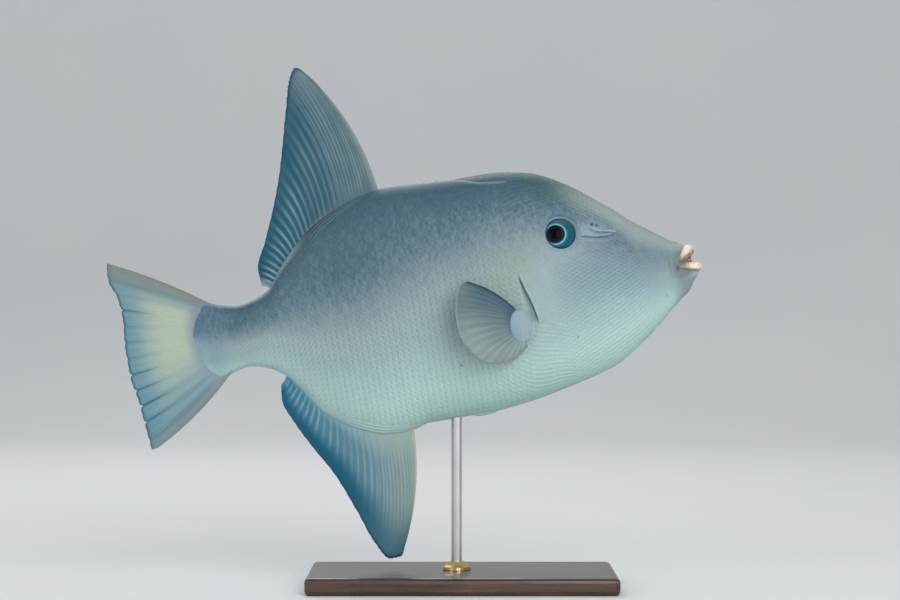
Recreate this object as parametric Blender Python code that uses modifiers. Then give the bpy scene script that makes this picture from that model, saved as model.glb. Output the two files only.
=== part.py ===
"""Ocean triggerfish, a still life-size display model held by a plain stand.

Metres, +Z up. The fish is drawn in its own frame: u runs back from the snout's tip, side is
towards its left, v runs up. An empty then tips the whole fish nose up over the stand.
"""

import math

import bmesh
import bpy
import numpy as np
from mathutils import Matrix, Vector

GAP = 0.0003
CLEARANCE = 1.05 * GAP

# The pose over the stand
NOSE_UP = math.radians(9.5)
SNOUT_TIP = Vector((0.180, 0.0, 0.24225))

# The body's outline on the middle plane, as (u, v)
BACK = (
    (0.0030, -0.0078), (0.0060, 0.0030), (0.0095, 0.0125), (0.0136, 0.0180), (0.0207, 0.0217),
    (0.0343, 0.0316), (0.0478, 0.0415), (0.0610, 0.0530), (0.0880, 0.0740), (0.1018, 0.0824),
    (0.1160, 0.0886), (0.1306, 0.0918), (0.1456, 0.0936), (0.1986, 0.0948), (0.2260, 0.0960),
    (0.2476, 0.0924), (0.2663, 0.0856), (0.2854, 0.0759), (0.2987, 0.0644), (0.3141, 0.0480),
    (0.3240, 0.0350), (0.3389, 0.0286), (0.3480, 0.0271), (0.3616, 0.0297), (0.3727, 0.0333),
    (0.3790, 0.0275), (0.3825, 0.0210), (0.3850, 0.0120),
)
BELLY = (
    (0.0030, -0.0092), (0.0058, -0.0130), (0.0122, -0.0185), (0.0209, -0.0246), (0.0385, -0.0392),
    (0.0473, -0.0461), (0.0645, -0.0584), (0.0811, -0.0663), (0.1129, -0.0746), (0.1443, -0.0808),
    (0.1753, -0.0838), (0.2209, -0.0839), (0.2330, -0.0872), (0.2444, -0.0884), (0.2550, -0.0876),
    (0.2750, -0.0802), (0.2881, -0.0719), (0.2994, -0.0624), (0.3116, -0.0444), (0.3222, -0.0310),
    (0.3326, -0.0242), (0.3471, -0.0202), (0.3590, -0.0225), (0.3684, -0.0259), (0.3779, -0.0200),
    (0.3826, -0.0068), (0.3850, 0.0070),
)
HALF_WIDTH = (
    (0.0030, 0.0006), (0.0060, 0.0042), (0.0090, 0.0058), (0.0130, 0.0074), (0.0200, 0.0098),
    (0.0400, 0.0163), (0.0600, 0.0212), (0.0800, 0.0256), (0.1050, 0.0300), (0.1300, 0.0330),
    (0.1600, 0.0342), (0.2000, 0.0325), (0.2400, 0.0272), (0.2800, 0.0205), (0.3100, 0.0150),
    (0.3400, 0.0108), (0.3600, 0.0082), (0.3750, 0.0050), (0.3850, 0.0020),
)
WIDEST_LINE = (
    (0.0030, -0.0085), (0.0200, 0.0000), (0.0600, 0.0060), (0.1300, 0.0110), (0.2300, 0.0090),
    (0.3300, 0.0040), (0.3850, 0.0095),
)
SECTION_POWER = 1.10
RING_POINTS = 32
END_CROWDING = 1.5
SNOUT_STATIONS = 12
TRUNK_STATIONS = 28
TAIL_STATIONS = 8
SNOUT_ENDS = 0.045
TRUNK_ENDS = 0.350
TAIL_END = 0.385

# Where the body is parted
NECK_CUT = 0.1262
TAIL_CUT = 0.3256

# Eyes: a flattened ball, its middle set in from the skin
EYE_PLACE = (0.1010, 0.0405)
EYE_RADIUS = 0.0134
EYE_HALF_THICKNESS = 0.0092
EYE_INSET = 0.0052

# Nostrils and the groove before the eye
NOSTRILS = ((0.0777, 0.0426), (0.0742, 0.0412))
NOSTRIL_RADIUS = 0.0010
NOSTRIL_DEPTH = 0.0016
EYE_GROOVE = ((0.0850, 0.0385), (0.0729, 0.0330), (0.0640, 0.0316))
EYE_GROOVE_RADII = (0.0007, 0.0015, 0.0007)

# Jaws: the roll of each lip from its corner round to the front, as (u, side, v)
UPPER_LIP = (
    (0.0200, 0.0072, 0.0046), (0.0165, 0.0076, 0.0058), (0.0128, 0.0068, 0.0083),
    (0.0093, 0.0042, 0.0108), (0.0082, 0.0, 0.0116),
)
LOWER_LIP = (
    (0.0205, 0.0074, 0.0002), (0.0170, 0.0079, -0.0004), (0.0112, 0.0068, -0.0011),
    (0.0064, 0.0042, -0.0022), (0.0047, 0.0, -0.0028),
)
UPPER_LIP_RADII = (0.0009, 0.0025, 0.0035, 0.0040, 0.0041)
LOWER_LIP_RADII = (0.0009, 0.0024, 0.0034, 0.0041, 0.0042)
TEETH = 8
TOOTH_SPACING = 0.075
TOOTH_LENGTH = 0.0070
TOOTH_HALF_WIDTH = 0.00115
TOOTH_TIP_SHARE = 0.55
TOOTH_INSET = 0.35
TOOTH_SHRINK = 0.07
TOOTH_ARC = 0.0111
MOUTH_MIDDLE = (0.0108, 0.0, 0.0045)
MOUTH_RADII = (0.0090, 0.0060, 0.0044)

# Gill slits and the flap before each
GILL_SLIT = (
    (0.1378, 0.0130), (0.1349, 0.0028), (0.1316, -0.0080), (0.1300, -0.0150), (0.1290, -0.0205),
)
GILL_SLIT_SIZES = (0.3, 1.0, 1.0, 0.8, 0.3)
GILL_SLIT_RADIUS = 0.0013
GILL_FLAP_WIDTH = 0.0066
GILL_FLAP_THICKNESS = 0.0016
GILL_FLAP_SPAN = (0.02, 0.98)
GILL_FLAP_WIDTHS = (0.15, 0.62)
GILL_FLAP_SET_BACK = 0.00026
GILL_FLAP_LIFT = 0.00039

# Dorsal spines, folded back into their groove
SPINE_PIVOT = 0.1340
SPINE_BALL = 0.0044
FIRST_SPINE_ENDS = 0.1835
SECOND_SPINE_STARTS = 0.1862
SECOND_SPINE_ENDS = 0.1950
GROOVE_ENDS = 0.2000
GROOVE_DEPTH = 0.0016
GROOVE_RADII = (0.0042, 0.0016)
SPINE_SIDE_GAP = 0.0006
SPINE_TAPER = 0.65
PIVOT_SINK = 0.4

# The knob of the pelvic spine under the belly
PELVIC_SPINE = ((0.1640, -0.0800), (0.1740, -0.0832), (0.1810, -0.0850), (0.1868, -0.0862))
PELVIC_RADII = (0.0020, 0.0032, 0.0028, 0.0011)

# Dorsal fin, as (u, v): the sunk root, then the free edge from the first ray's end
DORSAL_RAYS = 26
DORSAL_ROOT = (
    (0.2300, 0.0905), (0.2476, 0.0870), (0.2650, 0.0805), (0.2830, 0.0710), (0.2975, 0.0590),
    (0.3110, 0.0445), (0.3195, 0.0330),
)
DORSAL_EDGE = (
    (0.2650, 0.1845), (0.2769, 0.1962), (0.2825, 0.1885), (0.2902, 0.1612), (0.2982, 0.1306),
    (0.3055, 0.1067), (0.3200, 0.0713), (0.3292, 0.0500), (0.3284, 0.0386),
)
DORSAL_BOWS = (0.135, 0.135)
DORSAL_FAN = 1.35

# Anal fin, in the same way
ANAL_RAYS = 24
ANAL_ROOT = (
    (0.2335, -0.0815), (0.2444, -0.0825), (0.2550, -0.0818), (0.2730, -0.0745), (0.2860, -0.0660),
    (0.2975, -0.0560), (0.3095, -0.0390), (0.3190, -0.0270),
)
ANAL_EDGE = (
    (0.2540, -0.1708), (0.2592, -0.1792), (0.2665, -0.1795), (0.2762, -0.1662), (0.2862, -0.1390),
    (0.2984, -0.1092), (0.3100, -0.0890), (0.3220, -0.0652), (0.3275, -0.0490), (0.3262, -0.0374),
)
ANAL_BOWS = (-0.115, -0.115)
ANAL_FAN = 1.35

# Caudal fin
CAUDAL_RAYS = 12
CAUDAL_ROOT = (
    (0.3640, 0.0280), (0.3720, 0.0200), (0.3755, 0.0100), (0.3740, -0.0030), (0.3690, -0.0130),
    (0.3600, -0.0205),
)
CAUDAL_EDGE = (
    (0.4407, 0.0745), (0.4419, 0.0620), (0.4368, 0.0460), (0.4358, 0.0330), (0.4372, 0.0100),
    (0.4368, -0.0110), (0.4334, -0.0339), (0.4316, -0.0540), (0.4300, -0.0694), (0.4260, -0.0690),
)
CAUDAL_BOWS = (0.055, -0.085)

# Pectoral fins: a fleshy lobe with the blade standing out behind it
PECTORAL_RAYS = 15
PECTORAL_ROOT = (
    (0.1415, -0.0150), (0.1440, -0.0185), (0.1450, -0.0230), (0.1445, -0.0275), (0.1425, -0.0310),
    (0.1400, -0.0325),
)
PECTORAL_EDGE = (
    (0.1765, 0.0160), (0.1831, 0.0136), (0.1879, 0.0006), (0.1892, -0.0116), (0.1882, -0.0234),
    (0.1830, -0.0337), (0.1758, -0.0429), (0.1663, -0.0471), (0.1563, -0.0477), (0.1469, -0.0440),
    (0.1400, -0.0385),
)
PECTORAL_BOWS = (0.05, 0.05)
PECTORAL_HINGE = 0.1400
PECTORAL_SPREAD = math.radians(33.0)
PECTORAL_CUP = 0.004
LOBE_PLACE = (0.1418, -0.0252)
LOBE_RADII = (0.0096, 0.0112, 0.0062)
LOBE_LIFT = 0.001
HINGE_LIFT = 0.0015

# Rows from a fin's root to its edge, and its thickness
FIN_ROWS = (0.0, 0.07, 0.15, 0.27, 0.43, 0.62, 0.82, 1.0)
CAUDAL_ROWS = (0.0, 0.16, 0.28, 0.42, 0.60, 0.80, 1.0)
PECTORAL_ROWS = (0.0, 0.22, 0.45, 0.72, 1.0)
FIN_ROOT_HALF_THICKNESS = 0.0026
PECTORAL_ROOT_HALF_THICKNESS = 0.0012
ROOT_FLARE_POWER = 5
FIN_WAVE = 0.003
FIN_WAVES = 1.1
EDGE_HALF_THICKNESS = 0.00032
RAY_HEIGHT = 0.00055
RAY_FADE = 0.55
RAY_PARTING = 1.6
EDGE_NOTCH = 0.012

# The stand
BASE_SIZE = (0.230, 0.130, 0.013)
BASE_BEVEL = 0.0035
ROD_X = -0.004
ROD_RADIUS = 0.004
ROD_TOP = 0.17225
COLLAR_RADIUS = 0.0105
COLLAR_HEIGHT = 0.006
COLLAR_STEPS = ((0.62, 1.0), (0.80, 0.62), (1.0, 0.35), (1.0, 0.0))
COLLAR_TURNS = 24

# Colour, roughness and metallic of each material
MATERIALS = {
    "skin": ((0.34, 0.46, 0.50), 0.45, 0.0),
    "membrane": ((0.42, 0.53, 0.56), 0.4, 0.0),
    "lip_skin": ((0.82, 0.72, 0.66), 0.5, 0.0),
    "spine": ((0.36, 0.44, 0.47), 0.5, 0.0),
    "eyeball": ((0.05, 0.08, 0.10), 0.08, 0.0),
    "stained_wood": ((0.06, 0.035, 0.02), 0.4, 0.0),
    "steel": ((0.60, 0.60, 0.60), 0.3, 1.0),
    "brass": ((0.75, 0.56, 0.25), 0.3, 1.0),
}


def clear_scene():
    for obj in list(bpy.data.objects):
        bpy.data.objects.remove(obj)


def new_collection(name):
    group = bpy.data.collections.new(name)
    bpy.context.scene.collection.children.link(group)
    return group


def read_smooth(knots, values, at):
    """A smooth line through the values that never passes beyond them, read at one place."""
    knots, values = np.asarray(knots), np.asarray(values)
    steps = np.diff(knots)
    slopes = np.diff(values) / steps
    tangents = np.zeros(len(knots))
    tangents[0], tangents[-1] = slopes[0], slopes[-1]
    for i in range(1, len(slopes)):
        if slopes[i - 1] * slopes[i] > 0.0:
            tangents[i] = 2.0 * slopes[i - 1] * slopes[i] / (slopes[i - 1] + slopes[i])
    i = int(np.clip(np.searchsorted(knots, at) - 1, 0, len(steps) - 1))
    t = (min(max(at, knots[0]), knots[-1]) - knots[i]) / steps[i]
    rise = (3.0 - 2.0 * t) * t * t
    ease_in, ease_out = t * (1.0 - t) ** 2, t * t * (t - 1.0)
    change = ease_in * tangents[i] + ease_out * tangents[i + 1]
    return float(values[i] + rise * (values[i + 1] - values[i]) + change * steps[i])


def profile(points, u):
    knots, values = zip(*points)
    return read_smooth(knots, values, u)


def along(points, share):
    """The point a share of the way along a smooth line through points of any dimension."""
    points = np.array(points)
    lengths = np.r_[0.0, np.cumsum(np.linalg.norm(np.diff(points, axis=0), axis=1))]
    at = share * lengths[-1]
    return [read_smooth(lengths, points[:, axis], at) for axis in range(points.shape[1])]


def in_fish(u, side, v):
    return Vector((-u, side, v))


def half_width_at(u, v):
    """How far the flank stands out from the middle plane."""
    middle = profile(WIDEST_LINE, u)
    limit = profile(BACK, u) if v > middle else profile(BELLY, u)
    height = min(1.0, abs(v - middle) / abs(limit - middle))
    return profile(HALF_WIDTH, u) * (1.0 - height * height) ** (SECTION_POWER / 2.0)


def on_flank(place, side, lift=0.0):
    """A point on the skin and the way the skin faces there; side is -1 for the right flank."""
    u, v = place
    step = 0.001
    out = half_width_at(u, v)
    along_u = (half_width_at(u + step, v) - out) / step
    along_v = (half_width_at(u, v + step) - out) / step
    facing = Vector((along_u, side, -along_v)).normalized()
    return in_fish(u, side * out, v) + facing * lift, facing


def object_from(name, mesh):
    mesh.name = name
    obj = bpy.data.objects.new(name, mesh)
    bpy.context.scene.collection.objects.link(obj)
    return obj


def mesh_from(build):
    """A mesh of the shape that build makes in a bmesh, with its faces turned outwards."""
    shape = bmesh.new()
    build(shape)
    bmesh.ops.recalc_face_normals(shape, faces=shape.faces[:])
    mesh = bpy.data.meshes.new("shape")
    shape.to_mesh(mesh)
    shape.free()
    return mesh


def loft(shape, rings):
    """Faces between closed rings of equal counts, capped at both ends."""
    loops = [[shape.verts.new(point) for point in ring] for ring in rings]
    count = len(loops[0])
    for near, far in zip(loops, loops[1:]):
        for i in range(count):
            after = (i + 1) % count
            shape.faces.new((near[i], near[after], far[after], far[i]))
    shape.faces.new(loops[0])
    shape.faces.new(loops[-1])


def body_stations():
    snout = BACK[0][0]
    for i in range(SNOUT_STATIONS):
        yield snout + (SNOUT_ENDS - snout) * (i / SNOUT_STATIONS) ** END_CROWDING
    for i in range(TRUNK_STATIONS):
        yield SNOUT_ENDS + (TRUNK_ENDS - SNOUT_ENDS) * i / TRUNK_STATIONS
    for i in range(TAIL_STATIONS + 1):
        yield TAIL_END - (TAIL_END - TRUNK_ENDS) * (1.0 - i / TAIL_STATIONS) ** END_CROWDING


def body_ring(u):
    back, belly = profile(BACK, u), profile(BELLY, u)
    middle, width = profile(WIDEST_LINE, u), profile(HALF_WIDTH, u)
    for i in range(RING_POINTS):
        angle = 2.0 * math.pi * i / RING_POINTS
        across, up = math.cos(angle), math.sin(angle)
        reach = back - middle if up > 0.0 else middle - belly
        side = math.copysign(abs(across) ** SECTION_POWER, across) * width
        yield in_fish(u, side, middle + up * reach)


def build_body(shape):
    loft(shape, [list(body_ring(u)) for u in body_stations()])


def build_body_grown(shape):
    """The body a gap larger all round, which cuts clearances from what grows on it."""
    build_body(shape)
    bmesh.ops.recalc_face_normals(shape, faces=shape.faces[:])
    shape.normal_update()
    moved = [(vertex, vertex.co + vertex.normal * CLEARANCE) for vertex in shape.verts]
    for vertex, place in moved:
        vertex.co = place


def body_length(name, start, end):
    """The stretch of the body between two cuts square to its axis."""
    def build(shape):
        build_body(shape)
        for u, facing in ((start, 1.0), (end, -1.0)):
            if u is None:
                continue
            everything = shape.verts[:] + shape.edges[:] + shape.faces[:]
            bmesh.ops.bisect_plane(
                shape, geom=everything, plane_co=in_fish(u, 0.0, 0.0),
                plane_no=(facing, 0.0, 0.0), clear_outer=True, dist=1e-7,
            )
            open_edges = [edge for edge in shape.edges if edge.is_boundary]
            bmesh.ops.contextual_create(shape, geom=open_edges)

    return object_from(name, mesh_from(build))


def make_clearances():
    """The body a gap larger all round, and the same with the mouth's hollow left open for the jaws."""
    body = object_from("body_clearance", mesh_from(build_body_grown))
    jaws = object_from("jaw_clearance", mesh_from(build_body_grown))
    combine(jaws, [make_mouth(-GAP)], "DIFFERENCE")
    return body, jaws


def ball(name, middle, radii, facing, segments=20, rings=12):
    """A ball of three radii, the last of them along its facing."""
    def build(shape):
        turn = Vector(facing).to_track_quat("Z", "Y").to_matrix().to_4x4()
        size = Matrix.Diagonal((*radii, 1.0))
        place = Matrix.Translation(middle) @ turn @ size
        bmesh.ops.create_uvsphere(shape, u_segments=segments, v_segments=rings, radius=1.0, matrix=place)

    return object_from(name, mesh_from(build))


def apply_modifiers(obj):
    bpy.context.view_layer.update()
    graph = bpy.context.evaluated_depsgraph_get()
    mesh = bpy.data.meshes.new_from_object(obj.evaluated_get(graph))
    obj.modifiers.clear()
    obj.data = mesh


def combine(target, others, operation):
    """One Boolean of the target with all the others, applied; the others are then removed."""
    group = new_collection(target.name + "_pieces")
    for other in others:
        group.objects.link(other)
    modifier = target.modifiers.new(operation.title(), "BOOLEAN")
    modifier.operation = operation
    modifier.operand_type = "COLLECTION"
    modifier.collection = group
    modifier.solver = "EXACT"
    apply_modifiers(target)
    for other in others:
        bpy.data.objects.remove(other)
    bpy.data.collections.remove(group)


def cut_with(target, cutter, solver="EXACT"):
    modifier = target.modifiers.new("Clearance", "BOOLEAN")
    modifier.operation = "DIFFERENCE"
    modifier.object = cutter
    modifier.solver = solver
    apply_modifiers(target)
    keep_largest(target)


def keep_largest(obj):
    """Keeps only the closed surface that holds most, dropping scraps."""
    shape = bmesh.new()
    shape.from_mesh(obj.data)
    bmesh.ops.remove_doubles(shape, verts=shape.verts[:], dist=1e-6)
    left, islands = set(shape.faces), []
    while left:
        island, front = set(), [left.pop()]
        while front:
            face = front.pop()
            island.add(face)
            near = {other for edge in face.edges for other in edge.link_faces} & left
            left -= near
            front.extend(near)
        islands.append(island)
    largest = max(islands, key=lambda faces: sum(face.calc_area() for face in faces))
    scraps = [face for island in islands if island is not largest for face in island]
    bmesh.ops.delete(shape, geom=scraps, context="FACES")
    bmesh.ops.triangulate(shape, faces=shape.faces[:])
    shape.to_mesh(obj.data)
    shape.free()


def tapered_tube(name, points, radii, steps=1, resolution=2):
    """A tube on a curve with a radius at each point, made a closed mesh."""
    curve = bpy.data.curves.new(name, "CURVE")
    curve.dimensions = "3D"
    curve.bevel_depth = 1.0
    curve.bevel_resolution = resolution
    curve.use_fill_caps = True
    count = (len(points) - 1) * steps + 1
    spline = curve.splines.new("POLY")
    spline.points.add(count - 1)
    four = [(*point, radius) for point, radius in zip(points, radii)]
    for i, point in enumerate(spline.points):
        x, y, z, radius = along(four, i / (count - 1))
        point.co = (x, y, z, 1.0)
        point.radius = radius
    tube = bpy.data.objects.new(name, curve)
    bpy.context.scene.collection.objects.link(tube)
    bpy.context.view_layer.update()
    graph = bpy.context.evaluated_depsgraph_get()
    mesh = bpy.data.meshes.new_from_object(tube.evaluated_get(graph))
    bpy.data.objects.remove(tube)
    shape = bmesh.new()
    shape.from_mesh(mesh)
    bmesh.ops.remove_doubles(shape, verts=shape.verts[:], dist=1e-6)
    bmesh.ops.recalc_face_normals(shape, faces=shape.faces[:])
    shape.to_mesh(mesh)
    shape.free()
    return object_from(name, mesh)


def blade_point(root, edge, bow, fan, share, t):
    """A point of a fin in (u, v): t runs out along the ray that stands at this share of the root."""
    start = Vector(along(root, share))
    end = Vector(along(edge, share ** fan))
    chord = end - start
    across = Vector((-chord.y, chord.x))
    return start + chord * t + across * bow * 2.0 * t * (1.0 - t)


def ray_ridge(column, per_ray, t):
    """How much of a ray's height stands at a column; a branched ray parts towards the edge."""
    step = column % per_ray
    if per_ray == 2:
        return 1.0 - step
    if step == 0:
        return 0.0
    return 1.0 if step != 2 else 1.0 - min(1.0, RAY_PARTING * t)


def fin_blade(name, root, edge, rays, bows, fan, root_half, per_ray, rows, to_fish):
    """A membrane with its rays as ridges in both faces, which are split into triangles alike."""
    columns = rays * 2 - 1 if per_ray == 2 else rays * per_ray + 1

    def build(shape):
        faces = ([], [])
        for column in range(columns):
            share = column / (columns - 1)
            bow = bows[0] + (bows[1] - bows[0]) * share
            for side, grid in zip((-1.0, 1.0), faces):
                line = []
                for t in rows:
                    ridge = ray_ridge(column, per_ray, t)
                    reach = t * (1.0 - EDGE_NOTCH * (1.0 - ridge))
                    half = EDGE_HALF_THICKNESS + root_half * (1.0 - t) ** ROOT_FLARE_POWER
                    half += RAY_HEIGHT * ridge * (1.0 - RAY_FADE * t)
                    u, v = blade_point(root, edge, bow, fan, share, reach)
                    line.append(shape.verts.new(to_fish(u, v, side * half, share, t)))
                grid.append(line)
        close_sheet(shape, *faces)

    return object_from(name, mesh_from(build))


def close_sheet(shape, under, over):
    """Two alike grids joined round their rim into one closed sheet."""
    columns, rows = len(under), len(under[0])
    for grid in (under, over):
        for i in range(columns - 1):
            for j in range(rows - 1):
                a, b = grid[i][j], grid[i + 1][j]
                c, d = grid[i + 1][j + 1], grid[i][j + 1]
                shape.faces.new((a, b, c))
                shape.faces.new((a, c, d))
    last_column, last_row = columns - 1, rows - 1
    rim = [(i, 0) for i in range(columns)]
    rim += [(last_column, j) for j in range(1, rows)]
    rim += [(i, last_row) for i in range(last_column - 1, -1, -1)]
    rim += [(0, j) for j in range(last_row - 1, 0, -1)]
    for (i, j), (k, m) in zip(rim, rim[1:] + rim[:1]):
        shape.faces.new((under[i][j], under[k][m], over[k][m]))
        shape.faces.new((under[i][j], over[k][m], over[i][j]))


def upright(wave):
    """Places a fin on the middle plane, with a slight wave across it."""
    def to_fish(u, v, half, share, t):
        swing = math.sin(2.0 * math.pi * FIN_WAVES * share)
        return in_fish(u, half + wave * t * t * swing, v)

    return to_fish


def make_upright_fins(clearance):
    dorsal = fin_blade(
        "dorsal_fin", DORSAL_ROOT, DORSAL_EDGE, DORSAL_RAYS, DORSAL_BOWS, DORSAL_FAN,
        FIN_ROOT_HALF_THICKNESS, 2, FIN_ROWS, upright(FIN_WAVE),
    )
    anal = fin_blade(
        "anal_fin", ANAL_ROOT, ANAL_EDGE, ANAL_RAYS, ANAL_BOWS, ANAL_FAN,
        FIN_ROOT_HALF_THICKNESS, 2, FIN_ROWS, upright(-FIN_WAVE),
    )
    caudal = fin_blade(
        "caudal_fin", CAUDAL_ROOT, CAUDAL_EDGE, CAUDAL_RAYS, CAUDAL_BOWS, 1.0,
        FIN_ROOT_HALF_THICKNESS, 4, CAUDAL_ROWS, upright(FIN_WAVE),
    )
    for fin in (dorsal, anal, caudal):
        cut_with(fin, clearance)
        yield fin


def set_aside(cutter, parent, group):
    bpy.context.scene.collection.objects.unlink(cutter)
    group.objects.link(cutter)
    cutter.parent = parent
    cutter.hide_render = True
    cutter.display_type = "WIRE"


def finish(obj, material, parent, group, crease=35.0):
    bpy.context.scene.collection.objects.unlink(obj)
    group.objects.link(obj)
    obj.parent = parent
    obj.data.materials.clear()
    obj.data.materials.append(material)
    obj.data.shade_smooth()
    obj.data.set_sharp_from_angle(angle=math.radians(crease))


def make_material(name, colour, roughness, metallic):
    material = bpy.data.materials.new(name)
    material.use_nodes = True
    shader = material.node_tree.nodes["Principled BSDF"]
    shader.inputs["Base Color"].default_value = (*colour, 1.0)
    shader.inputs["Roughness"].default_value = roughness
    shader.inputs["Metallic"].default_value = metallic
    return material


def make_eye(side, grow=0.0):
    _, facing = on_flank(EYE_PLACE, side)
    middle, _ = on_flank(EYE_PLACE, side, -EYE_INSET)
    radii = (EYE_RADIUS + grow, EYE_RADIUS + grow, EYE_HALF_THICKNESS + grow)
    return ball("eye", middle, radii, facing)


def make_mouth(grow=0.0):
    radii = [radius + grow for radius in MOUTH_RADII]
    return ball("mouth", in_fish(*MOUTH_MIDDLE), radii, (0.0, 0.0, 1.0), 16, 10)


def make_head():
    head = body_length("head", None, NECK_CUT)
    cutters = [make_mouth()]
    for side in (-1.0, 1.0):
        cutters.append(make_eye(side, GAP))
        for place in NOSTRILS:
            point, facing = on_flank(place, side)
            radii = (NOSTRIL_RADIUS, NOSTRIL_RADIUS, NOSTRIL_DEPTH)
            cutters.append(ball("nostril", point, radii, facing, 8, 6))
        line = [on_flank(place, side)[0] for place in EYE_GROOVE]
        cutters.append(tapered_tube("groove", line, EYE_GROOVE_RADII, 3))
    combine(head, cutters, "DIFFERENCE")
    keep_largest(head)
    return head


def spine_line(start, end, depth, count=7):
    for i in range(count):
        u = start + (end - start) * i / (count - 1)
        yield in_fish(u, 0.0, profile(BACK, u) - depth)


def groove_radius(u):
    share = (u - SPINE_PIVOT) / (GROOVE_ENDS - SPINE_PIVOT)
    return GROOVE_RADII[0] + (GROOVE_RADII[1] - GROOVE_RADII[0]) * share


def make_spine(name, start, end):
    """A spine lying in the groove, thick at its pivot."""
    line = list(spine_line(start, end, GROOVE_DEPTH))
    radii = [groove_radius(-point.x) - SPINE_SIDE_GAP for point in line]
    radii = [radius * (1.0 - SPINE_TAPER * i / (len(line) - 1)) for i, radius in enumerate(radii)]
    return tapered_tube(name, line, radii, 1, 2)


def make_dorsal_spines():
    first = make_spine("spine_first", SPINE_PIVOT, FIRST_SPINE_ENDS)
    combine(first, [pivot_ball(SPINE_PIVOT, SPINE_BALL)], "UNION")
    second = make_spine("spine_second", SECOND_SPINE_STARTS, SECOND_SPINE_ENDS)
    combine(second, [pivot_ball(SECOND_SPINE_STARTS, SPINE_BALL / 2.0)], "UNION")
    return first, second


def make_torso():
    torso = body_length("torso", NECK_CUT + GAP, TAIL_CUT)
    line = list(spine_line(SPINE_PIVOT, GROOVE_ENDS, GROOVE_DEPTH))
    groove = tapered_tube("groove", line, [groove_radius(-point.x) for point in line])
    cutters = [groove]
    for side in (-1.0, 1.0):
        slit = [on_flank(place, side)[0] for place in GILL_SLIT]
        radii = [GILL_SLIT_RADIUS * size for size in GILL_SLIT_SIZES]
        cutters.append(tapered_tube("slit", slit, radii, 2))
    for u, radius in ((SPINE_PIVOT, SPINE_BALL), (SECOND_SPINE_STARTS, SPINE_BALL / 2.0)):
        cutters.append(pivot_ball(u, radius + GAP))
    combine(torso, cutters, "DIFFERENCE")
    keep_largest(torso)
    return torso


def pivot_ball(u, radius):
    middle = in_fish(u, 0.0, profile(BACK, u) - GROOVE_DEPTH - radius * PIVOT_SINK)
    return ball("pivot", middle, (radius, radius, radius), (0.0, 0.0, 1.0), 10, 8)


def make_lip(name, half_line, half_radii, down):
    """A lip's roll from corner to corner, with the jaw's teeth fused to it."""
    line = [in_fish(*point) for point in half_line]
    mirrored = [Vector((point.x, -point.y, point.z)) for point in reversed(line[:-1])]
    radii = list(half_radii) + list(reversed(half_radii[:-1]))
    lip = tapered_tube(name, line + mirrored, radii, 2, 3)
    four = [(*point, radius) for point, radius in zip(line + mirrored, radii)]
    teeth = []
    for i in range(TEETH):
        from_middle = i - (TEETH - 1) / 2.0
        x, y, z, radius = along(four, 0.5 + from_middle * TOOTH_SPACING)
        inward = Vector((-TOOTH_ARC, -y, 0.0)).normalized()
        root = Vector((x, y, z)) + inward * radius * TOOTH_INSET
        teeth.append(make_tooth(root, down, 1.0 - TOOTH_SHRINK * abs(from_middle)))
    combine(lip, teeth, "UNION")
    return lip


def make_tooth(root, down, size):
    def build(shape):
        length = TOOTH_LENGTH * size
        middle = root + Vector((0.0, 0.0, down * length * 0.5))
        turn = Matrix.Rotation(0.0 if down > 0.0 else math.pi, 4, "X")
        bmesh.ops.create_cone(
            shape, cap_ends=True, segments=6, radius1=TOOTH_HALF_WIDTH,
            radius2=TOOTH_HALF_WIDTH * TOOTH_TIP_SHARE, depth=length,
            matrix=Matrix.Translation(middle) @ turn,
        )

    return object_from("tooth", mesh_from(build))


def make_jaws(clearance):
    for name, line, radii, down in (
        ("jaw_upper", UPPER_LIP, UPPER_LIP_RADII, -1.0), ("jaw_lower", LOWER_LIP, LOWER_LIP_RADII, 1.0),
    ):
        jaw = make_lip(name, line, radii, down)
        cut_with(jaw, clearance, "MANIFOLD")
        yield jaw


def make_gill_flap(name, side):
    """A thin crescent before the slit, its free rear edge the thicker."""
    count = 8

    def build(shape):
        grids = ([], [])
        for i in range(count):
            share = i / (count - 1)
            first, last = GILL_FLAP_SPAN
            u, v = along(GILL_SLIT, first + (last - first) * share)
            swell = math.sin(math.pi * share)
            narrow, wide = GILL_FLAP_WIDTHS
            width = GILL_FLAP_WIDTH * (narrow + (wide - narrow) * swell)
            for grid, top in zip(grids, (0.0, 1.0)):
                line = []
                for step in (0.0, 0.5, 1.0):
                    place = (u - GILL_FLAP_SET_BACK - width * (1.0 - step), v)
                    thick = GILL_FLAP_THICKNESS * (0.35 + 0.65 * step) * (0.45 + 0.55 * swell)
                    point, _ = on_flank(place, side, GILL_FLAP_LIFT + top * thick)
                    line.append(shape.verts.new(point))
                grid.append(line)
        close_sheet(shape, *grids)

    return object_from(name, mesh_from(build))


def make_pectoral(name, side):
    """A fleshy lobe on the flank and the blade that stands out behind it."""
    lobe_middle, facing = on_flank(LOBE_PLACE, side, LOBE_LIFT)
    hinge_side = half_width_at(*LOBE_PLACE) + HINGE_LIFT
    lean = math.tan(PECTORAL_SPREAD)

    def to_fish(u, v, half, share, t):
        out = hinge_side + (u - PECTORAL_HINGE) * lean + PECTORAL_CUP * math.sin(math.pi * t)
        face = Vector((math.sin(PECTORAL_SPREAD), side * math.cos(PECTORAL_SPREAD), 0.0))
        return in_fish(u, side * out, v) + face * half

    blade = fin_blade(
        name, PECTORAL_ROOT, PECTORAL_EDGE, PECTORAL_RAYS, PECTORAL_BOWS, 1.0,
        PECTORAL_ROOT_HALF_THICKNESS, 2, PECTORAL_ROWS, to_fish,
    )
    lobe = ball("lobe", lobe_middle, LOBE_RADII, facing, 20, 12)
    combine(blade, [lobe], "UNION")
    return blade


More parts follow.
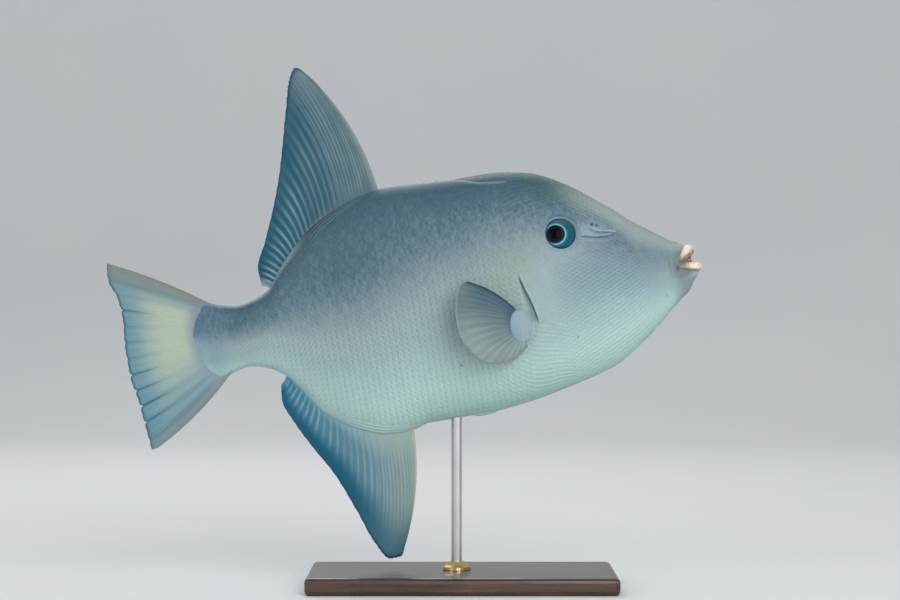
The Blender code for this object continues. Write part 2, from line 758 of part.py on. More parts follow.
def make_stand(group, materials, clearance):
    height = BASE_SIZE[2]

    def build_base(shape):
        place = Matrix.Translation((0.0, 0.0, height / 2.0))
        bmesh.ops.create_cube(shape, size=1.0, matrix=place @ Matrix.Diagonal((*BASE_SIZE, 1.0)))

    base = object_from("stand_base", mesh_from(build_base))
    bevel = base.modifiers.new("Edge", "BEVEL")
    bevel.width = BASE_BEVEL
    bevel.segments = 3
    finish(base, materials["stained_wood"], None, group)

    line = [Vector((ROD_X, 0.0, height + GAP)), Vector((ROD_X, 0.0, ROD_TOP))]
    rod = tapered_tube("stand_rod", line, (ROD_RADIUS, ROD_RADIUS), 1, 4)
    cut_with(rod, clearance)
    finish(rod, materials["steel"], None, group)

    collar = bpy.data.meshes.new("stand_collar")
    inner, low = ROD_RADIUS + GAP, height + GAP
    steps = [(COLLAR_RADIUS * wide, low + COLLAR_HEIGHT * tall) for wide, tall in COLLAR_STEPS]
    outline = [(inner, low + COLLAR_HEIGHT), *steps, (inner, low)]
    edges = [(i, (i + 1) % len(outline)) for i in range(len(outline))]
    collar.from_pydata([(radius, 0.0, z) for radius, z in outline], edges, [])
    ring = object_from("stand_collar", collar)
    ring.location = (ROD_X, 0.0, 0.0)
    turn = ring.modifiers.new("Turn", "SCREW")
    turn.steps = COLLAR_TURNS
    turn.render_steps = COLLAR_TURNS
    turn.use_merge_vertices = True
    turn.merge_threshold = 0.00001
    apply_modifiers(ring)
    finish(ring, materials["brass"], None, group)


def main():
    clear_scene()
    fish_group = new_collection("ocean_triggerfish")
    cutter_group = new_collection("cutters")
    fish = bpy.data.objects.new("fish", None)
    fish_group.objects.link(fish)
    fish.location = SNOUT_TIP
    fish.rotation_euler = (0.0, -NOSE_UP, 0.0)

    materials = {name: make_material(name, *values) for name, values in MATERIALS.items()}
    clearance, jaw_clearance = make_clearances()

    made = [(obj, "skin") for obj in (make_head(), make_torso(), body_length("tail", TAIL_CUT + GAP, None))]
    made += [(spine, "spine") for spine in make_dorsal_spines()]
    made += [(jaw, "lip_skin") for jaw in make_jaws(jaw_clearance)]
    made += [(fin, "membrane") for fin in make_upright_fins(clearance)]
    pelvic = tapered_tube("pelvic_spine", [in_fish(u, 0.0, v) for u, v in PELVIC_SPINE], PELVIC_RADII, 2)
    cut_with(pelvic, clearance)
    made.append((pelvic, "spine"))
    for name, side in (("right", -1.0), ("left", 1.0)):
        pectoral = make_pectoral("pectoral_fin_" + name, side)
        cut_with(pectoral, clearance)
        eye = make_eye(side)
        eye.name = "eye_" + name
        flap = make_gill_flap("gill_flap_" + name, side)
        made += [(pectoral, "membrane"), (eye, "eyeball"), (flap, "skin")]
    for obj, material in made:
        finish(obj, materials[material], fish, fish_group)
    for cutter in (clearance, jaw_clearance):
        set_aside(cutter, fish, cutter_group)
    make_stand(fish_group, materials, clearance)


main()
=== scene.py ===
import math
from functools import reduce

import bpy
import numpy as np
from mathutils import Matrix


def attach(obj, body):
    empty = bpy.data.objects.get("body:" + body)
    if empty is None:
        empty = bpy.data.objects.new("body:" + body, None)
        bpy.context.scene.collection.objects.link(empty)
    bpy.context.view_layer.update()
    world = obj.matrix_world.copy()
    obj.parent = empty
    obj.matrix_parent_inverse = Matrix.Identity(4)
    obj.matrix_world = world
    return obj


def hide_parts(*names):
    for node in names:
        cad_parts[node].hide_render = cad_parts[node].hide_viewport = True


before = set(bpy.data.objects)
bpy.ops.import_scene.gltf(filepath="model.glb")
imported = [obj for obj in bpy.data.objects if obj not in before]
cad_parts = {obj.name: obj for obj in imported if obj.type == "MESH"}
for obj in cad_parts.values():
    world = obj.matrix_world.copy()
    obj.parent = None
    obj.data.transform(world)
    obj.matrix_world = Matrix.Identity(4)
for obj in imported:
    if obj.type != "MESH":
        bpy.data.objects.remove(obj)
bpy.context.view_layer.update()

# The ocean triggerfish display model, dressed over its solids. Lengths are metres in the frame's
# own axes. The fish is drawn as (u, side, v): u runs back from the snout's tip, side is towards its
# left, v runs up, and the whole fish is tipped nose up over the stand.
NOSE_UP = math.radians(9.5)
SNOUT_TIP = np.array((0.180, 0.0, 0.24225))
RIGHT, LEFT = -1.0, 1.0

# The body's outline on the middle plane, its half width and the line along which it is widest
BACK = (
    (0.0030, -0.0040), (0.0060, 0.0030), (0.0095, 0.0125), (0.0136, 0.0180), (0.0207, 0.0217),
    (0.0343, 0.0316), (0.0478, 0.0415), (0.0610, 0.0530), (0.0880, 0.0740), (0.1018, 0.0824),
    (0.1160, 0.0886), (0.1306, 0.0918), (0.1456, 0.0936), (0.1986, 0.0948), (0.2260, 0.0960),
    (0.2476, 0.0924), (0.2663, 0.0856), (0.2854, 0.0759), (0.2987, 0.0644), (0.3141, 0.0480),
    (0.3240, 0.0350), (0.3389, 0.0286), (0.3480, 0.0271), (0.3616, 0.0297), (0.3727, 0.0333),
    (0.3790, 0.0275), (0.3825, 0.0210), (0.3850, 0.0120),
)
BELLY = (
    (0.0030, -0.0058), (0.0058, -0.0092), (0.0080, -0.0118), (0.0122, -0.0180), (0.0209, -0.0246),
    (0.0385, -0.0392), (0.0473, -0.0461), (0.0645, -0.0584), (0.0811, -0.0663), (0.1129, -0.0746),
    (0.1443, -0.0808), (0.1753, -0.0838), (0.2209, -0.0839), (0.2330, -0.0872), (0.2444, -0.0884),
    (0.2550, -0.0876), (0.2750, -0.0802), (0.2881, -0.0719), (0.2994, -0.0624), (0.3116, -0.0444),
    (0.3222, -0.0310), (0.3326, -0.0242), (0.3471, -0.0202), (0.3590, -0.0225), (0.3684, -0.0259),
    (0.3779, -0.0200), (0.3826, -0.0068), (0.3850, 0.0070),
)
HALF_WIDTH = (
    (0.0030, 0.0006), (0.0060, 0.0042), (0.0090, 0.0058), (0.0130, 0.0074), (0.0200, 0.0098),
    (0.0400, 0.0163), (0.0600, 0.0212), (0.0800, 0.0256), (0.1050, 0.0300), (0.1300, 0.0330),
    (0.1600, 0.0342), (0.2000, 0.0325), (0.2400, 0.0272), (0.2800, 0.0205), (0.3100, 0.0150),
    (0.3400, 0.0108), (0.3600, 0.0082), (0.3750, 0.0050), (0.3850, 0.0020),
)
WIDEST_LINE = (
    (0.0030, -0.0049), (0.0200, 0.0000), (0.0600, 0.0060), (0.1300, 0.0110), (0.2300, 0.0090),
    (0.3300, 0.0040), (0.3850, 0.0095),
)
SECTION_POWER = 1.10
SKIN_DEPTH = 0.0003

# Skin: stretches of its length, each with its own spacing of stations (end, spacing), and the points
# round a ring, set closer at one height of both flanks (sine of the angle, half range, how much)
SKIN_STARTS = 0.0030
SKIN_STRETCHES = (
    (0.0300, 0.00045), (0.0600, 0.0009), (0.1170, 0.0006), (0.1260, 0.0009), (0.1420, 0.0003),
    (0.2000, 0.0010), (0.3300, 0.0011), (0.3850, 0.0009),
)
SKIN_ENDS = SKIN_STRETCHES[-1][0]
SKIN_RING = 300
CLOSER_STEPS = (0.50, 0.22, 2.6)

# Eyes: place on the flank, the ball's size and seat, and how far the iris sits towards the tail
EYE_PLACE = (0.1022, 0.0395)
EYE_RADIUS = 0.0138
EYE_HALF_THICKNESS = 0.0092
EYE_INSET = 0.0052
EYE_DISC = 0.0114
IRIS_SHIFT = (0.0043, -0.0003)
# Raised and sunk rings of its face (height, radius, half width): lens, iris and bright ring
EYE_RINGS = ((0.00020, 0.0, 0.0030), (-0.00016, 0.0052, 0.0012), (0.00014, 0.0074, 0.0008))

# Mouth, lips and teeth
MOUTH_MIDDLE = (0.0108, 0.0, 0.0045)
MOUTH_RADII = (0.0090, 0.0060, 0.0044)
UPPER_LIP = (
    (0.0188, 0.0072, 0.0040), (0.0160, 0.0074, 0.0056), (0.0128, 0.0067, 0.0082),
    (0.0096, 0.0043, 0.0110), (0.0085, 0.0, 0.0118),
)
LOWER_LIP = (
    (0.0190, 0.0074, 0.0008), (0.0160, 0.0077, 0.0006), (0.0112, 0.0066, 0.0002),
    (0.0060, 0.0042, -0.0008), (0.0042, 0.0, -0.0013),
)
UPPER_LIP_RADII = (0.0007, 0.0021, 0.0033, 0.0041, 0.0042)
LOWER_LIP_RADII = (0.0008, 0.0020, 0.0028, 0.0034, 0.0036)
TEETH = 8
TOOTH_SPACING = 0.075
TOOTH_LENGTH = 0.0054
TOOTH_HALF_WIDTH = 0.00125
TOOTH_INSET = 0.35
TOOTH_ARC = 0.0111

# Nostrils, creases, the mouth's corner and the gill slit on the flank; a wall, hole, ridge or floor is
# the (distance, half width) of its relief from the line or spot that it follows
NOSTRILS = ((0.0777, 0.0426), (0.0742, 0.0412))
NOSTRIL_WALL = (0.0019, 0.0008)
NOSTRIL_HOLE = (0.0, 0.0009)
EYE_CREASE = ((0.0865, 0.0348), (0.0754, 0.0323), (0.0707, 0.0319), (0.0635, 0.0323))
UPPER_EYE_CREASE = (
    (0.0799, 0.0395), (0.0765, 0.0370), (0.0728, 0.0358), (0.0672, 0.0349), (0.0619, 0.0335),
)
LOBE_CREASE = (
    (0.1500, -0.0115), (0.1460, -0.0135), (0.1420, -0.0132), (0.1385, -0.0155), (0.1365, -0.0172),
)
MOUTH_CORNER = (0.0190, 0.0000)
GILL_SLIT = (
    (0.1378, 0.0130), (0.1349, 0.0028), (0.1316, -0.0080), (0.1300, -0.0150), (0.1290, -0.0205),
)
CREASES = ((EYE_CREASE, 0.0007), (UPPER_EYE_CREASE, 0.0005))
CREASE_RIDGE = (0.0021, 0.0011)
CREASE_FLOOR = (0.0, 0.0010)

# Stretches along the body that come in or go out: ALWAYS leaves a mark as strong everywhere
ALWAYS = (-1.0, 0.0)
GROOVE_FROM = (0.1335, 0.1370)

# Painted shade along the creases (line, half width, strength), and dark spots (u, v, size, strength, sides)
CREASE_SHADE_LINES = (
    (EYE_CREASE, 0.0006, 0.66), (UPPER_EYE_CREASE, 0.0006, 0.50), (LOBE_CREASE, 0.0010, 0.60),
)
# How far above each crease its painted highlight runs
LIT_ABOVE = 0.0013
# Spots: painted shade in the nostrils and the mouth's corner; the others are real dark specks
DARK_SPOTS = (
    (*NOSTRILS[0], 0.0010, 0.9, (RIGHT, LEFT)), (*NOSTRILS[1], 0.0008, 0.8, (RIGHT, LEFT)),
    (*MOUTH_CORNER, 0.0016, 0.8, (RIGHT, LEFT)), (0.1822, 0.0128, 0.0011, 0.8, (RIGHT,)),
    (0.1904, -0.0446, 0.0012, 0.6, (RIGHT,)), (0.1632, 0.0090, 0.0009, 0.4, (RIGHT,)),
    (0.1020, -0.0380, 0.0006, 0.7, (RIGHT,)), (0.0303, -0.0189, 0.0007, 0.5, (RIGHT,)),
)

# What moves the skin's tone: (amount, height of its middle, half height, comes in, goes out)
TONE_HUMPS = (
    (0.13, 0.62, 0.20, (0.19, 0.28), ALWAYS), (0.04, 0.30, 0.25, (0.19, 0.28), ALWAYS),
    (-0.08, 0.58, 0.14, (0.07, 0.09), (0.22, 0.17)), (0.055, 0.70, 0.14, (0.15, 0.18), (0.30, 0.26)),
    (0.11, 0.42, 0.34, (0.325, 0.355), ALWAYS),
)
# Painted highlight in strips along the ridge of the back, where light from above falls: (strength, heights,
# comes in, goes out)
RIDGE_HIGHLIGHTS = (
    (0.34, (0.955, 0.992), ALWAYS, (0.240, 0.225)),
    (0.80, (0.930, 0.985), (0.285, 0.305), (0.378, 0.366)),
)
# Oval patches: (middle, radii) in u and v, the last one in u and height
MUZZLE_PAD = ((0.0160, 0.0010), (0.0105, 0.0150))
MUZZLE_BARE = ((0.0120, 0.0020), (0.0120, 0.0160))
NOSTRIL_PATCH = ((0.0790, 0.0375), (0.0105, 0.0062))
NOSTRIL_BARE = ((0.0790, 0.0400), (0.0100, 0.0055))
OLIVE_PATCH = ((0.1434, 0.0156), (0.030, 0.024))
CHEEK_PATCH = ((0.072, 0.006), (0.046, 0.026))
BRIGHT_CHEEK = ((0.066, 0.48), (0.024, 0.24))
# Folds of skin beside the upright fins: how far each lies from the body's edge, by place
DORSAL_FOLD = (
    (0.2300, 0.0006), (0.2645, 0.0040), (0.2770, 0.0053), (0.2850, 0.0071), (0.2920, 0.0085),
)
ANAL_FOLD = (
    (0.2340, 0.0008), (0.2440, 0.0022), (0.2700, 0.0026), (0.2850, 0.0024), (0.3200, 0.0016),
)
DORSAL_FOLD_SPAN = (0.2330, 0.2900)
ANAL_FOLD_SPAN = (0.2370, 0.2850)
DORSAL_FOLD_STEPS = (0.50, 0.98, 1.50)
ANAL_FOLD_STEPS = (0.95, 1.85, 2.80)
FOLD_HALF_WIDTH = 0.0006
FOLD_HEIGHT = 0.00036

# Dorsal spines in their groove, and the knob of the pelvic spine
SPINE_PIVOT = 0.1340
FIRST_SPINE_ENDS = 0.1835
SECOND_SPINE_STARTS = 0.1862
SECOND_SPINE_ENDS = 0.1950
GROOVE_ENDS = 0.2000
GROOVE_DEPTH = 0.0016
GROOVE_RADII = (0.0042, 0.0016)
GROOVE_LIP = (
    (0.1360, 0.0846), (0.1417, 0.0850), (0.1554, 0.0868), (0.1720, 0.0917), (0.1912, 0.0934),
)
FIRST_KNOB = 0.0042
SECOND_KNOB = 0.0021
PELVIC_SPINE = ((0.1640, -0.0798), (0.1740, -0.0819), (0.1810, -0.0828), (0.1868, -0.0834))
PELVIC_RADII = (0.0016, 0.0026, 0.0022, 0.0010)

# Fins: the sunk root, then the free edge from the first ray's end
DORSAL_RAYS = 26
DORSAL_ROOT = (
    (0.2300, 0.0905), (0.2476, 0.0870), (0.2650, 0.0805), (0.2830, 0.0710), (0.2975, 0.0590),
    (0.3110, 0.0445), (0.3195, 0.0330),
)
DORSAL_EDGE = (
    (0.2650, 0.1845), (0.2769, 0.1962), (0.2825, 0.1885), (0.2902, 0.1612), (0.2982, 0.1306),
    (0.3055, 0.1067), (0.3200, 0.0713), (0.3292, 0.0500), (0.3284, 0.0386),
)
DORSAL_BOWS = (0.135, 0.135)
ANAL_RAYS = 24
ANAL_ROOT = (
    (0.2335, -0.0815), (0.2444, -0.0825), (0.2550, -0.0818), (0.2730, -0.0745), (0.2860, -0.0660),
    (0.2975, -0.0560), (0.3095, -0.0390), (0.3190, -0.0270),
)
ANAL_EDGE = (
    (0.2540, -0.1708), (0.2592, -0.1792), (0.2665, -0.1795), (0.2762, -0.1662), (0.2862, -0.1390),
    (0.2984, -0.1092), (0.3100, -0.0890), (0.3220, -0.0652), (0.3275, -0.0490), (0.3262, -0.0374),
)
ANAL_BOWS = (-0.115, -0.115)
# How the rays' ends share out a fin's free edge: closer together towards the front and rear
UPRIGHT_FAN = (
    (0.00, 0.000), (0.15, 0.080), (0.30, 0.205), (0.45, 0.385), (0.60, 0.585), (0.75, 0.770),
    (0.90, 0.915), (1.00, 1.000),
)
EVEN_FAN = ((0.0, 0.0), (1.0, 1.0))
CAUDAL_RAYS = 12
CAUDAL_ROOT = (
    (0.3640, 0.0280), (0.3720, 0.0200), (0.3755, 0.0100), (0.3740, -0.0030), (0.3690, -0.0130),
    (0.3600, -0.0205),
)
CAUDAL_EDGE = (
    (0.4407, 0.0745), (0.4419, 0.0620), (0.4368, 0.0460), (0.4358, 0.0330), (0.4372, 0.0100),
    (0.4368, -0.0110), (0.4334, -0.0339), (0.4316, -0.0540), (0.4300, -0.0694), (0.4260, -0.0690),
)
CAUDAL_BOWS = (0.055, -0.085)
PECTORAL_RAYS = 15
PECTORAL_ROOT = (
    (0.1415, -0.0150), (0.1440, -0.0185), (0.1450, -0.0230), (0.1445, -0.0275), (0.1425, -0.0310),
    (0.1400, -0.0325),
)
PECTORAL_EDGE = (
    (0.1765, 0.0160), (0.1831, 0.0136), (0.1879, 0.0006), (0.1892, -0.0116), (0.1882, -0.0234),
    (0.1830, -0.0337), (0.1758, -0.0429), (0.1663, -0.0471), (0.1563, -0.0477), (0.1469, -0.0440),
    (0.1400, -0.0385),
)
PECTORAL_BOWS = (0.16, 0.05)
PECTORAL_HINGE = 0.1400
PECTORAL_SPREAD = math.radians(33.0)
PECTORAL_CUP = 0.004
LOBE_PLACE = (0.1430, -0.0231)
LOBE_RADII = (0.0102, 0.0132, 0.0034)
LOBE_LIFT = 0.0010
HINGE_LIFT = 0.0015
FIN_WAVE = 0.003
FIN_WAVES = 1.1
FIN_ROOT_HALF_THICKNESS = 0.0026

# Scales: pitch up a section, spacing of the columns as a share of it, and height, by place
SCALES_START = 0.0222
SCALES_END = 0.3745
SCALE_PITCH = (
    (0.020, 0.0021), (0.032, 0.0023), (0.045, 0.0027), (0.065, 0.0030), (0.110, 0.0032),
    (0.150, 0.0042), (0.280, 0.0042), (0.340, 0.0034), (0.380, 0.0025),
)
SCALE_COLUMNS = (
    (0.020, 0.50), (0.034, 0.55), (0.055, 0.92), (0.105, 0.92), (0.145, 0.52), (0.380, 0.50),
)
SCALE_BEND = 0.35
SCALE_HEIGHTS = (
    (0.020, 0.00004), (0.035, 0.00012), (0.060, 0.00020), (0.130, 0.00019), (0.180, 0.00016),
    (0.330, 0.00016), (0.380, 0.00010),
)
BRICKS_FROM = (0.125, 0.165)
SCALE_PATCH = 0.003
SCALE_PARTS = ((0.0, 0.075, "snout"), (0.075, 0.150, "cheek"), (0.150, 0.235, "flank"), (0.235, 0.4, "rear"))
SECTION_STEPS = 240
BARE_RIDGE = 0.975
COLUMN_CONTRAST = 0.10
# A scale's rings inwards from its foot, each as (spread, height), as shares of its own
SCALE_RING = 12
SCALE_OUTLINES = ((1.00, -0.10), (0.86, 0.62), (0.45, 1.0))

# The camera stands as far off as a 900 by 600 frame needs for 0.75 mm to the pixel
CAMERA_PLACE = (-0.009, -2.0, 0.21525)
CAMERA_LENS = 106.67


def smooth_line(points):
    """A reader of the smooth line through (at, value) points that never passes beyond them."""
    knots, values = np.array(points, float).T
    steps = np.diff(knots)
    slopes = np.diff(values) / steps
    before, after = slopes[:-1], slopes[1:]
    total = np.where(before * after > 0.0, before + after, 1.0)
    inner = np.where(before * after > 0.0, 2.0 * before * after / total, 0.0)
    tangents = np.concatenate([slopes[:1], inner, slopes[-1:]])

    def read(at):
        at = np.clip(np.asarray(at, float), knots[0], knots[-1])
        i = np.clip(np.searchsorted(knots, at) - 1, 0, len(steps) - 1)
        t = (at - knots[i]) / steps[i]
        rise = (3.0 - 2.0 * t) * t * t
        change = t * (1.0 - t) ** 2 * tangents[i] + t * t * (t - 1.0) * tangents[i + 1]
        return values[i] + rise * (values[i + 1] - values[i]) + change * steps[i]

    return read


def along(points, shares):
    """Points at shares of the way along a smooth line through points of any dimension."""
    points = np.array(points, float)
    lengths = np.r_[0.0, np.cumsum(np.linalg.norm(np.diff(points, axis=0), axis=1))]
    at = np.asarray(shares, float) * lengths[-1]
    axes = [smooth_line(np.stack([lengths, points[:, axis]], 1))(at) for axis in range(points.shape[1])]
    return np.stack(axes, -1)


back, belly = smooth_line(BACK), smooth_line(BELLY)
half_width, middle = smooth_line(HALF_WIDTH), smooth_line(WIDEST_LINE)


def place(u, side, v):
    """Points of the fish's own axes, in the frame's axes."""
    u, side, v = np.broadcast_arrays(u, side, v)
    x = SNOUT_TIP[0] - u * math.cos(NOSE_UP) - v * math.sin(NOSE_UP)
    z = SNOUT_TIP[2] - u * math.sin(NOSE_UP) + v * math.cos(NOSE_UP)
    return np.stack([x, side, z], -1)


def direction(u, side, v):
    """A way given in the fish's own axes, in the frame's axes."""
    return place(u, side, v) - place(0.0, 0.0, 0.0)


FISH_UP = direction(0.0, 0.0, 1.0)


def unit(vectors):
    return vectors / np.maximum(np.linalg.norm(vectors, axis=-1, keepdims=True), 1e-12)


def ease(value, low, high):
    """0 below low, 1 above high, smooth between; low may be the larger."""
    t = np.clip((value - low) / (high - low), 0.0, 1.0)
    return t * t * (3.0 - 2.0 * t)


def bump_at(value, middle_value, half):
    """A smooth hump of this half width."""
    return np.exp(-((value - middle_value) / half) ** 2)


def ripple(points, wavelength, seed, waves=9):
    """A smooth random field between about -1 and 1, from plane waves in seeded directions."""
    random = np.random.default_rng(seed)
    total = 0.0
    for _ in range(waves):
        heading = unit(random.normal(size=3)) * random.uniform(0.7, 1.4)
        total = total + np.sin(points @ heading * (2.0 * math.pi / wavelength) + random.uniform(0.0, 6.3))
    return total / math.sqrt(waves) * 0.7


def distance_to_line(line, u, v):
    """Distance in (u, v) to a line of straight pieces."""
    best = np.full(np.shape(u), np.inf)
    for (u0, v0), (u1, v1) in zip(line, line[1:]):
        du, dv = u1 - u0, v1 - v0
        t = np.clip(((u - u0) * du + (v - v0) * dv) / (du * du + dv * dv), 0.0, 1.0)
        best = np.minimum(best, np.hypot(u - u0 - t * du, v - v0 - t * dv))
    return best


def hump(value):
    """A smooth hump of half width 1 round nought."""
    return bump_at(value, 0.0, 1.0)


def most(*values):
    """The largest of several marks at each place."""
    return reduce(np.maximum, values)


def oval(u, v, spot, radii):
    """Distance from the middle of an oval patch, 1 at its rim."""
    return np.hypot((u - spot[0]) / radii[0], (v - spot[1]) / radii[1])


def full_turn(count):
    """Even steps once round."""
    return np.linspace(0.0, 2.0 * math.pi, count, endpoint=False)


def half_width_at(u, v):
    """How far the bare flank stands out from the middle plane."""
    limit = np.where(v > middle(u), back(u), belly(u))
    height = np.clip(np.abs(v - middle(u)) / np.abs(limit - middle(u)), 0.0, 1.0)
    return half_width(u) * (1.0 - height * height) ** (SECTION_POWER / 2.0)


def height_at(u, v):
    """0 on the belly's edge, 1 on the back's."""
    return np.clip((v - belly(u)) / np.maximum(back(u) - belly(u), 1e-6), 0.0, 1.0)


def on_flank(spot, side, lift=0.0):
    """A point on the bare flank and the way it faces."""
    u, v = spot
    step = 0.001
    out = half_width_at(u, v)
    along_u = (half_width_at(u + step, v) - out) / step
    along_v = (half_width_at(u, v + step) - out) / step
    foot = place(u, side * out, v)
    facing = unit(place(u - along_u, side + side * out, v - along_v) - foot)
    return foot + facing * lift, facing


def body_point(u, angle):
    """The bare body in the fish's own axes, at an angle round its section."""
    across, up = np.cos(angle), np.sin(angle)
    reach = np.where(up > 0.0, back(u) - middle(u), middle(u) - belly(u))
    side = np.sign(across) * np.abs(across) ** SECTION_POWER * half_width(u)
    return np.broadcast_to(u, side.shape), side, middle(u) + up * reach


def facing_of(surface, u, angle, step=0.0004):
    """The way a surface of (u, angle) faces, outwards from the body's middle line."""
    turn = step / 0.05
    along_u = surface(u + step, angle) - surface(u - step, angle)
    round_it = surface(u, angle + turn) - surface(u, angle - turn)
    return unit(np.cross(along_u, round_it))


def bare_surface(u, angle):
    return place(*body_point(u, angle))


EYES = {side: on_flank(EYE_PLACE, side) for side in (RIGHT, LEFT)}
gill_line = smooth_line([(v, u) for u, v in reversed(GILL_SLIT)])
dorsal_fold, anal_fold = smooth_line(DORSAL_FOLD), smooth_line(ANAL_FOLD)
groove_lip = smooth_line(GROOVE_LIP)


def gill_zone(u, v):
    """How far a place is behind the gill cover's edge, the hollow's width and how open the slit is."""
    behind = u - gill_line(v)
    width = 0.0018 + 0.0044 * ease(v, 0.010, -0.012)
    return behind, width, ease(v, -0.0245, -0.0185) * ease(v, 0.0160, 0.0080)


def gill_relief(u, v):
    """The gill cover swells to its free edge; behind it the skin drops and comes up again."""
    behind, width, span = gill_zone(u, v)
    cover = 0.0010 * ease(behind, -0.0110, -0.0004) * ease(behind, 0.0003, -0.0002)
    hollow = -0.0016 * ease(behind, -0.0002, 0.0004) * (1.0 - ease(behind / width, 0.05, 1.0))
    return span * (cover + hollow)


def fold_zone(u, v):
    """1 on the scaleless strips of folds above and below, beside the upright fins, 0 off them."""
    upper, lower = (back(u) - v) / dorsal_fold(u), (v - belly(u)) / anal_fold(u)
    over = ease(u, 0.229, 0.234) * ease(u, 0.300, 0.290) * ease(upper, 2.05, 1.75)
    under = ease(u, 0.231, 0.236) * ease(u, 0.330, 0.316) * ease(lower, 3.9, 3.3)
    return over, under


def smooth_zone(u, v):
    """1 on the nearly scaleless skin round the eye and over the gill cover, 0 off it."""
    round_eye = ease(np.hypot(u - EYE_PLACE[0], v - EYE_PLACE[1]), 0.024, 0.017)
    cover = ease(u, 0.108, 0.117) * ease(u, 0.139, 0.133)
    return np.maximum(round_eye, cover * ease(v, -0.030, -0.020) * ease(v, 0.056, 0.046))


def hollow_zone(u, v):
    """1 on the bare hollow beside the folded spines, 0 off it, and the distance to its lower lip."""
    lip = distance_to_line(GROOVE_LIP, u, v)
    over = ease(v - groove_lip(u), 0.0, 0.0020)
    return over * ease(u, *GROOVE_FROM) * ease(u, 0.1900, 0.1700), lip


def eye_relief(points):
    """A socket sunk behind each eyeball, with a soft fold round it."""
    total = 0.0
    for middle_point, facing in EYES.values():
        offset = points - middle_point
        depth = offset @ facing
        radial = np.linalg.norm(offset - depth[..., None] * facing, axis=-1)
        near = ease(np.abs(depth), 0.020, 0.012)
        fold = 0.0004 * bump_at(radial, EYE_DISC + 0.0019, 0.0013)
        fold = fold - 0.0002 * bump_at(radial, EYE_DISC + 0.0048, 0.0012)
        socket = -0.0065 * ease(radial, EYE_DISC + 0.0006, EYE_DISC - 0.0012)
        total = total + near * (fold + socket)
    return total


def relief(u, side, v, points):
    """How far the sculpted skin stands out from the bare body."""
    total = -SKIN_DEPTH + gill_relief(u, v) + eye_relief(points)
    for line, depth in CREASES:
        away = distance_to_line(line, u, v)
        total = total + 0.4 * depth * bump_at(away, *CREASE_RIDGE) - depth * bump_at(away, *CREASE_FLOOR)
    for spot_u, spot_v in NOSTRILS:
        away = np.hypot(u - spot_u, v - spot_v)
        total = total + 0.0004 * bump_at(away, *NOSTRIL_WALL) - 0.0016 * bump_at(away, *NOSTRIL_HOLE)
    pad_span = ease(v, -0.013, -0.007) * ease(v, 0.020, 0.014)
    edge = 0.0238 - 6.0 * (v - 0.004) ** 2
    pad = 0.0002 * ease(u, edge, edge - 0.002) - 0.0003 * bump_at(u, edge + 0.0004, 0.0012)
    lobe_seat = -0.0006 * bump_at(oval(u, v, LOBE_PLACE, LOBE_RADII), 1.12, 0.12)
    total = total + pad_span * pad + lobe_seat
    hollow, lip = hollow_zone(u, v)
    lip_ridge = 0.0003 * bump_at(lip, 0.0, 0.0009) * ease(u, 0.205, 0.190)
    total = total - 0.0009 * hollow * (side != 0.0) + lip_ridge
    height = height_at(u, v)
    fleshy = ease(height, 0.12, 0.30) * ease(height, 0.99, 0.80)
    return total + fleshy * (0.00035 * ripple(points, 0.042, 3) + 0.00012 * ripple(points, 0.011, 4))


def skin_surface(u, angle):
    """The sculpted skin, in the frame's axes."""
    own = body_point(u, angle)
    points = place(*own)
    skin = points + facing_of(bare_surface, u, angle) * relief(*own, points)[..., None]
    drop = groove_drop(*own)
    return hollow_mouth(skin + place(own[0], own[1], own[2] - drop) - points)


def groove_radius(u):
    share = (u - SPINE_PIVOT) / (GROOVE_ENDS - SPINE_PIVOT)
    return GROOVE_RADII[0] + (GROOVE_RADII[1] - GROOVE_RADII[0]) * share


def groove_drop(u, side, v):
    """How far the back falls into the spines' groove."""
    radius = np.maximum(groove_radius(u), 0.0005) + 0.0004
    span = ease(u, SPINE_PIVOT - 0.0055, SPINE_PIVOT - 0.0020) * ease(u, GROOVE_ENDS, GROOVE_ENDS - 0.003)
    on_top = ease(v - middle(u), 0.02, 0.04)
    inside = np.clip(1.0 - (side / radius) ** 2, 0.0, 1.0)
    return span * on_top * (GROOVE_DEPTH + radius) * np.sqrt(inside)


def fish_axes(points):
    """The fish's own (u, side, v) of points in the frame's axes."""
    x, z = points[..., 0] - SNOUT_TIP[0], points[..., 2] - SNOUT_TIP[2]
    u = -(x * math.cos(NOSE_UP) + z * math.sin(NOSE_UP))
    v = -x * math.sin(NOSE_UP) + z * math.cos(NOSE_UP)
    return u, points[..., 1], v


def hollow_mouth(points):
    """Skin inside the mouth's hollow is drawn back onto the hollow's rear wall."""
    u, side, v = fish_axes(points)
    long, wide, tall = MOUTH_RADII
    flat = (side / wide) ** 2 + ((v - MOUTH_MIDDLE[2]) / tall) ** 2
    wall = MOUTH_MIDDLE[0] + long * np.sqrt(np.clip(1.0 - flat, 0.0, 1.0))
    inside = (flat < 1.0) & (u < wall)
    return place(np.where(inside, wall, u), side, v)


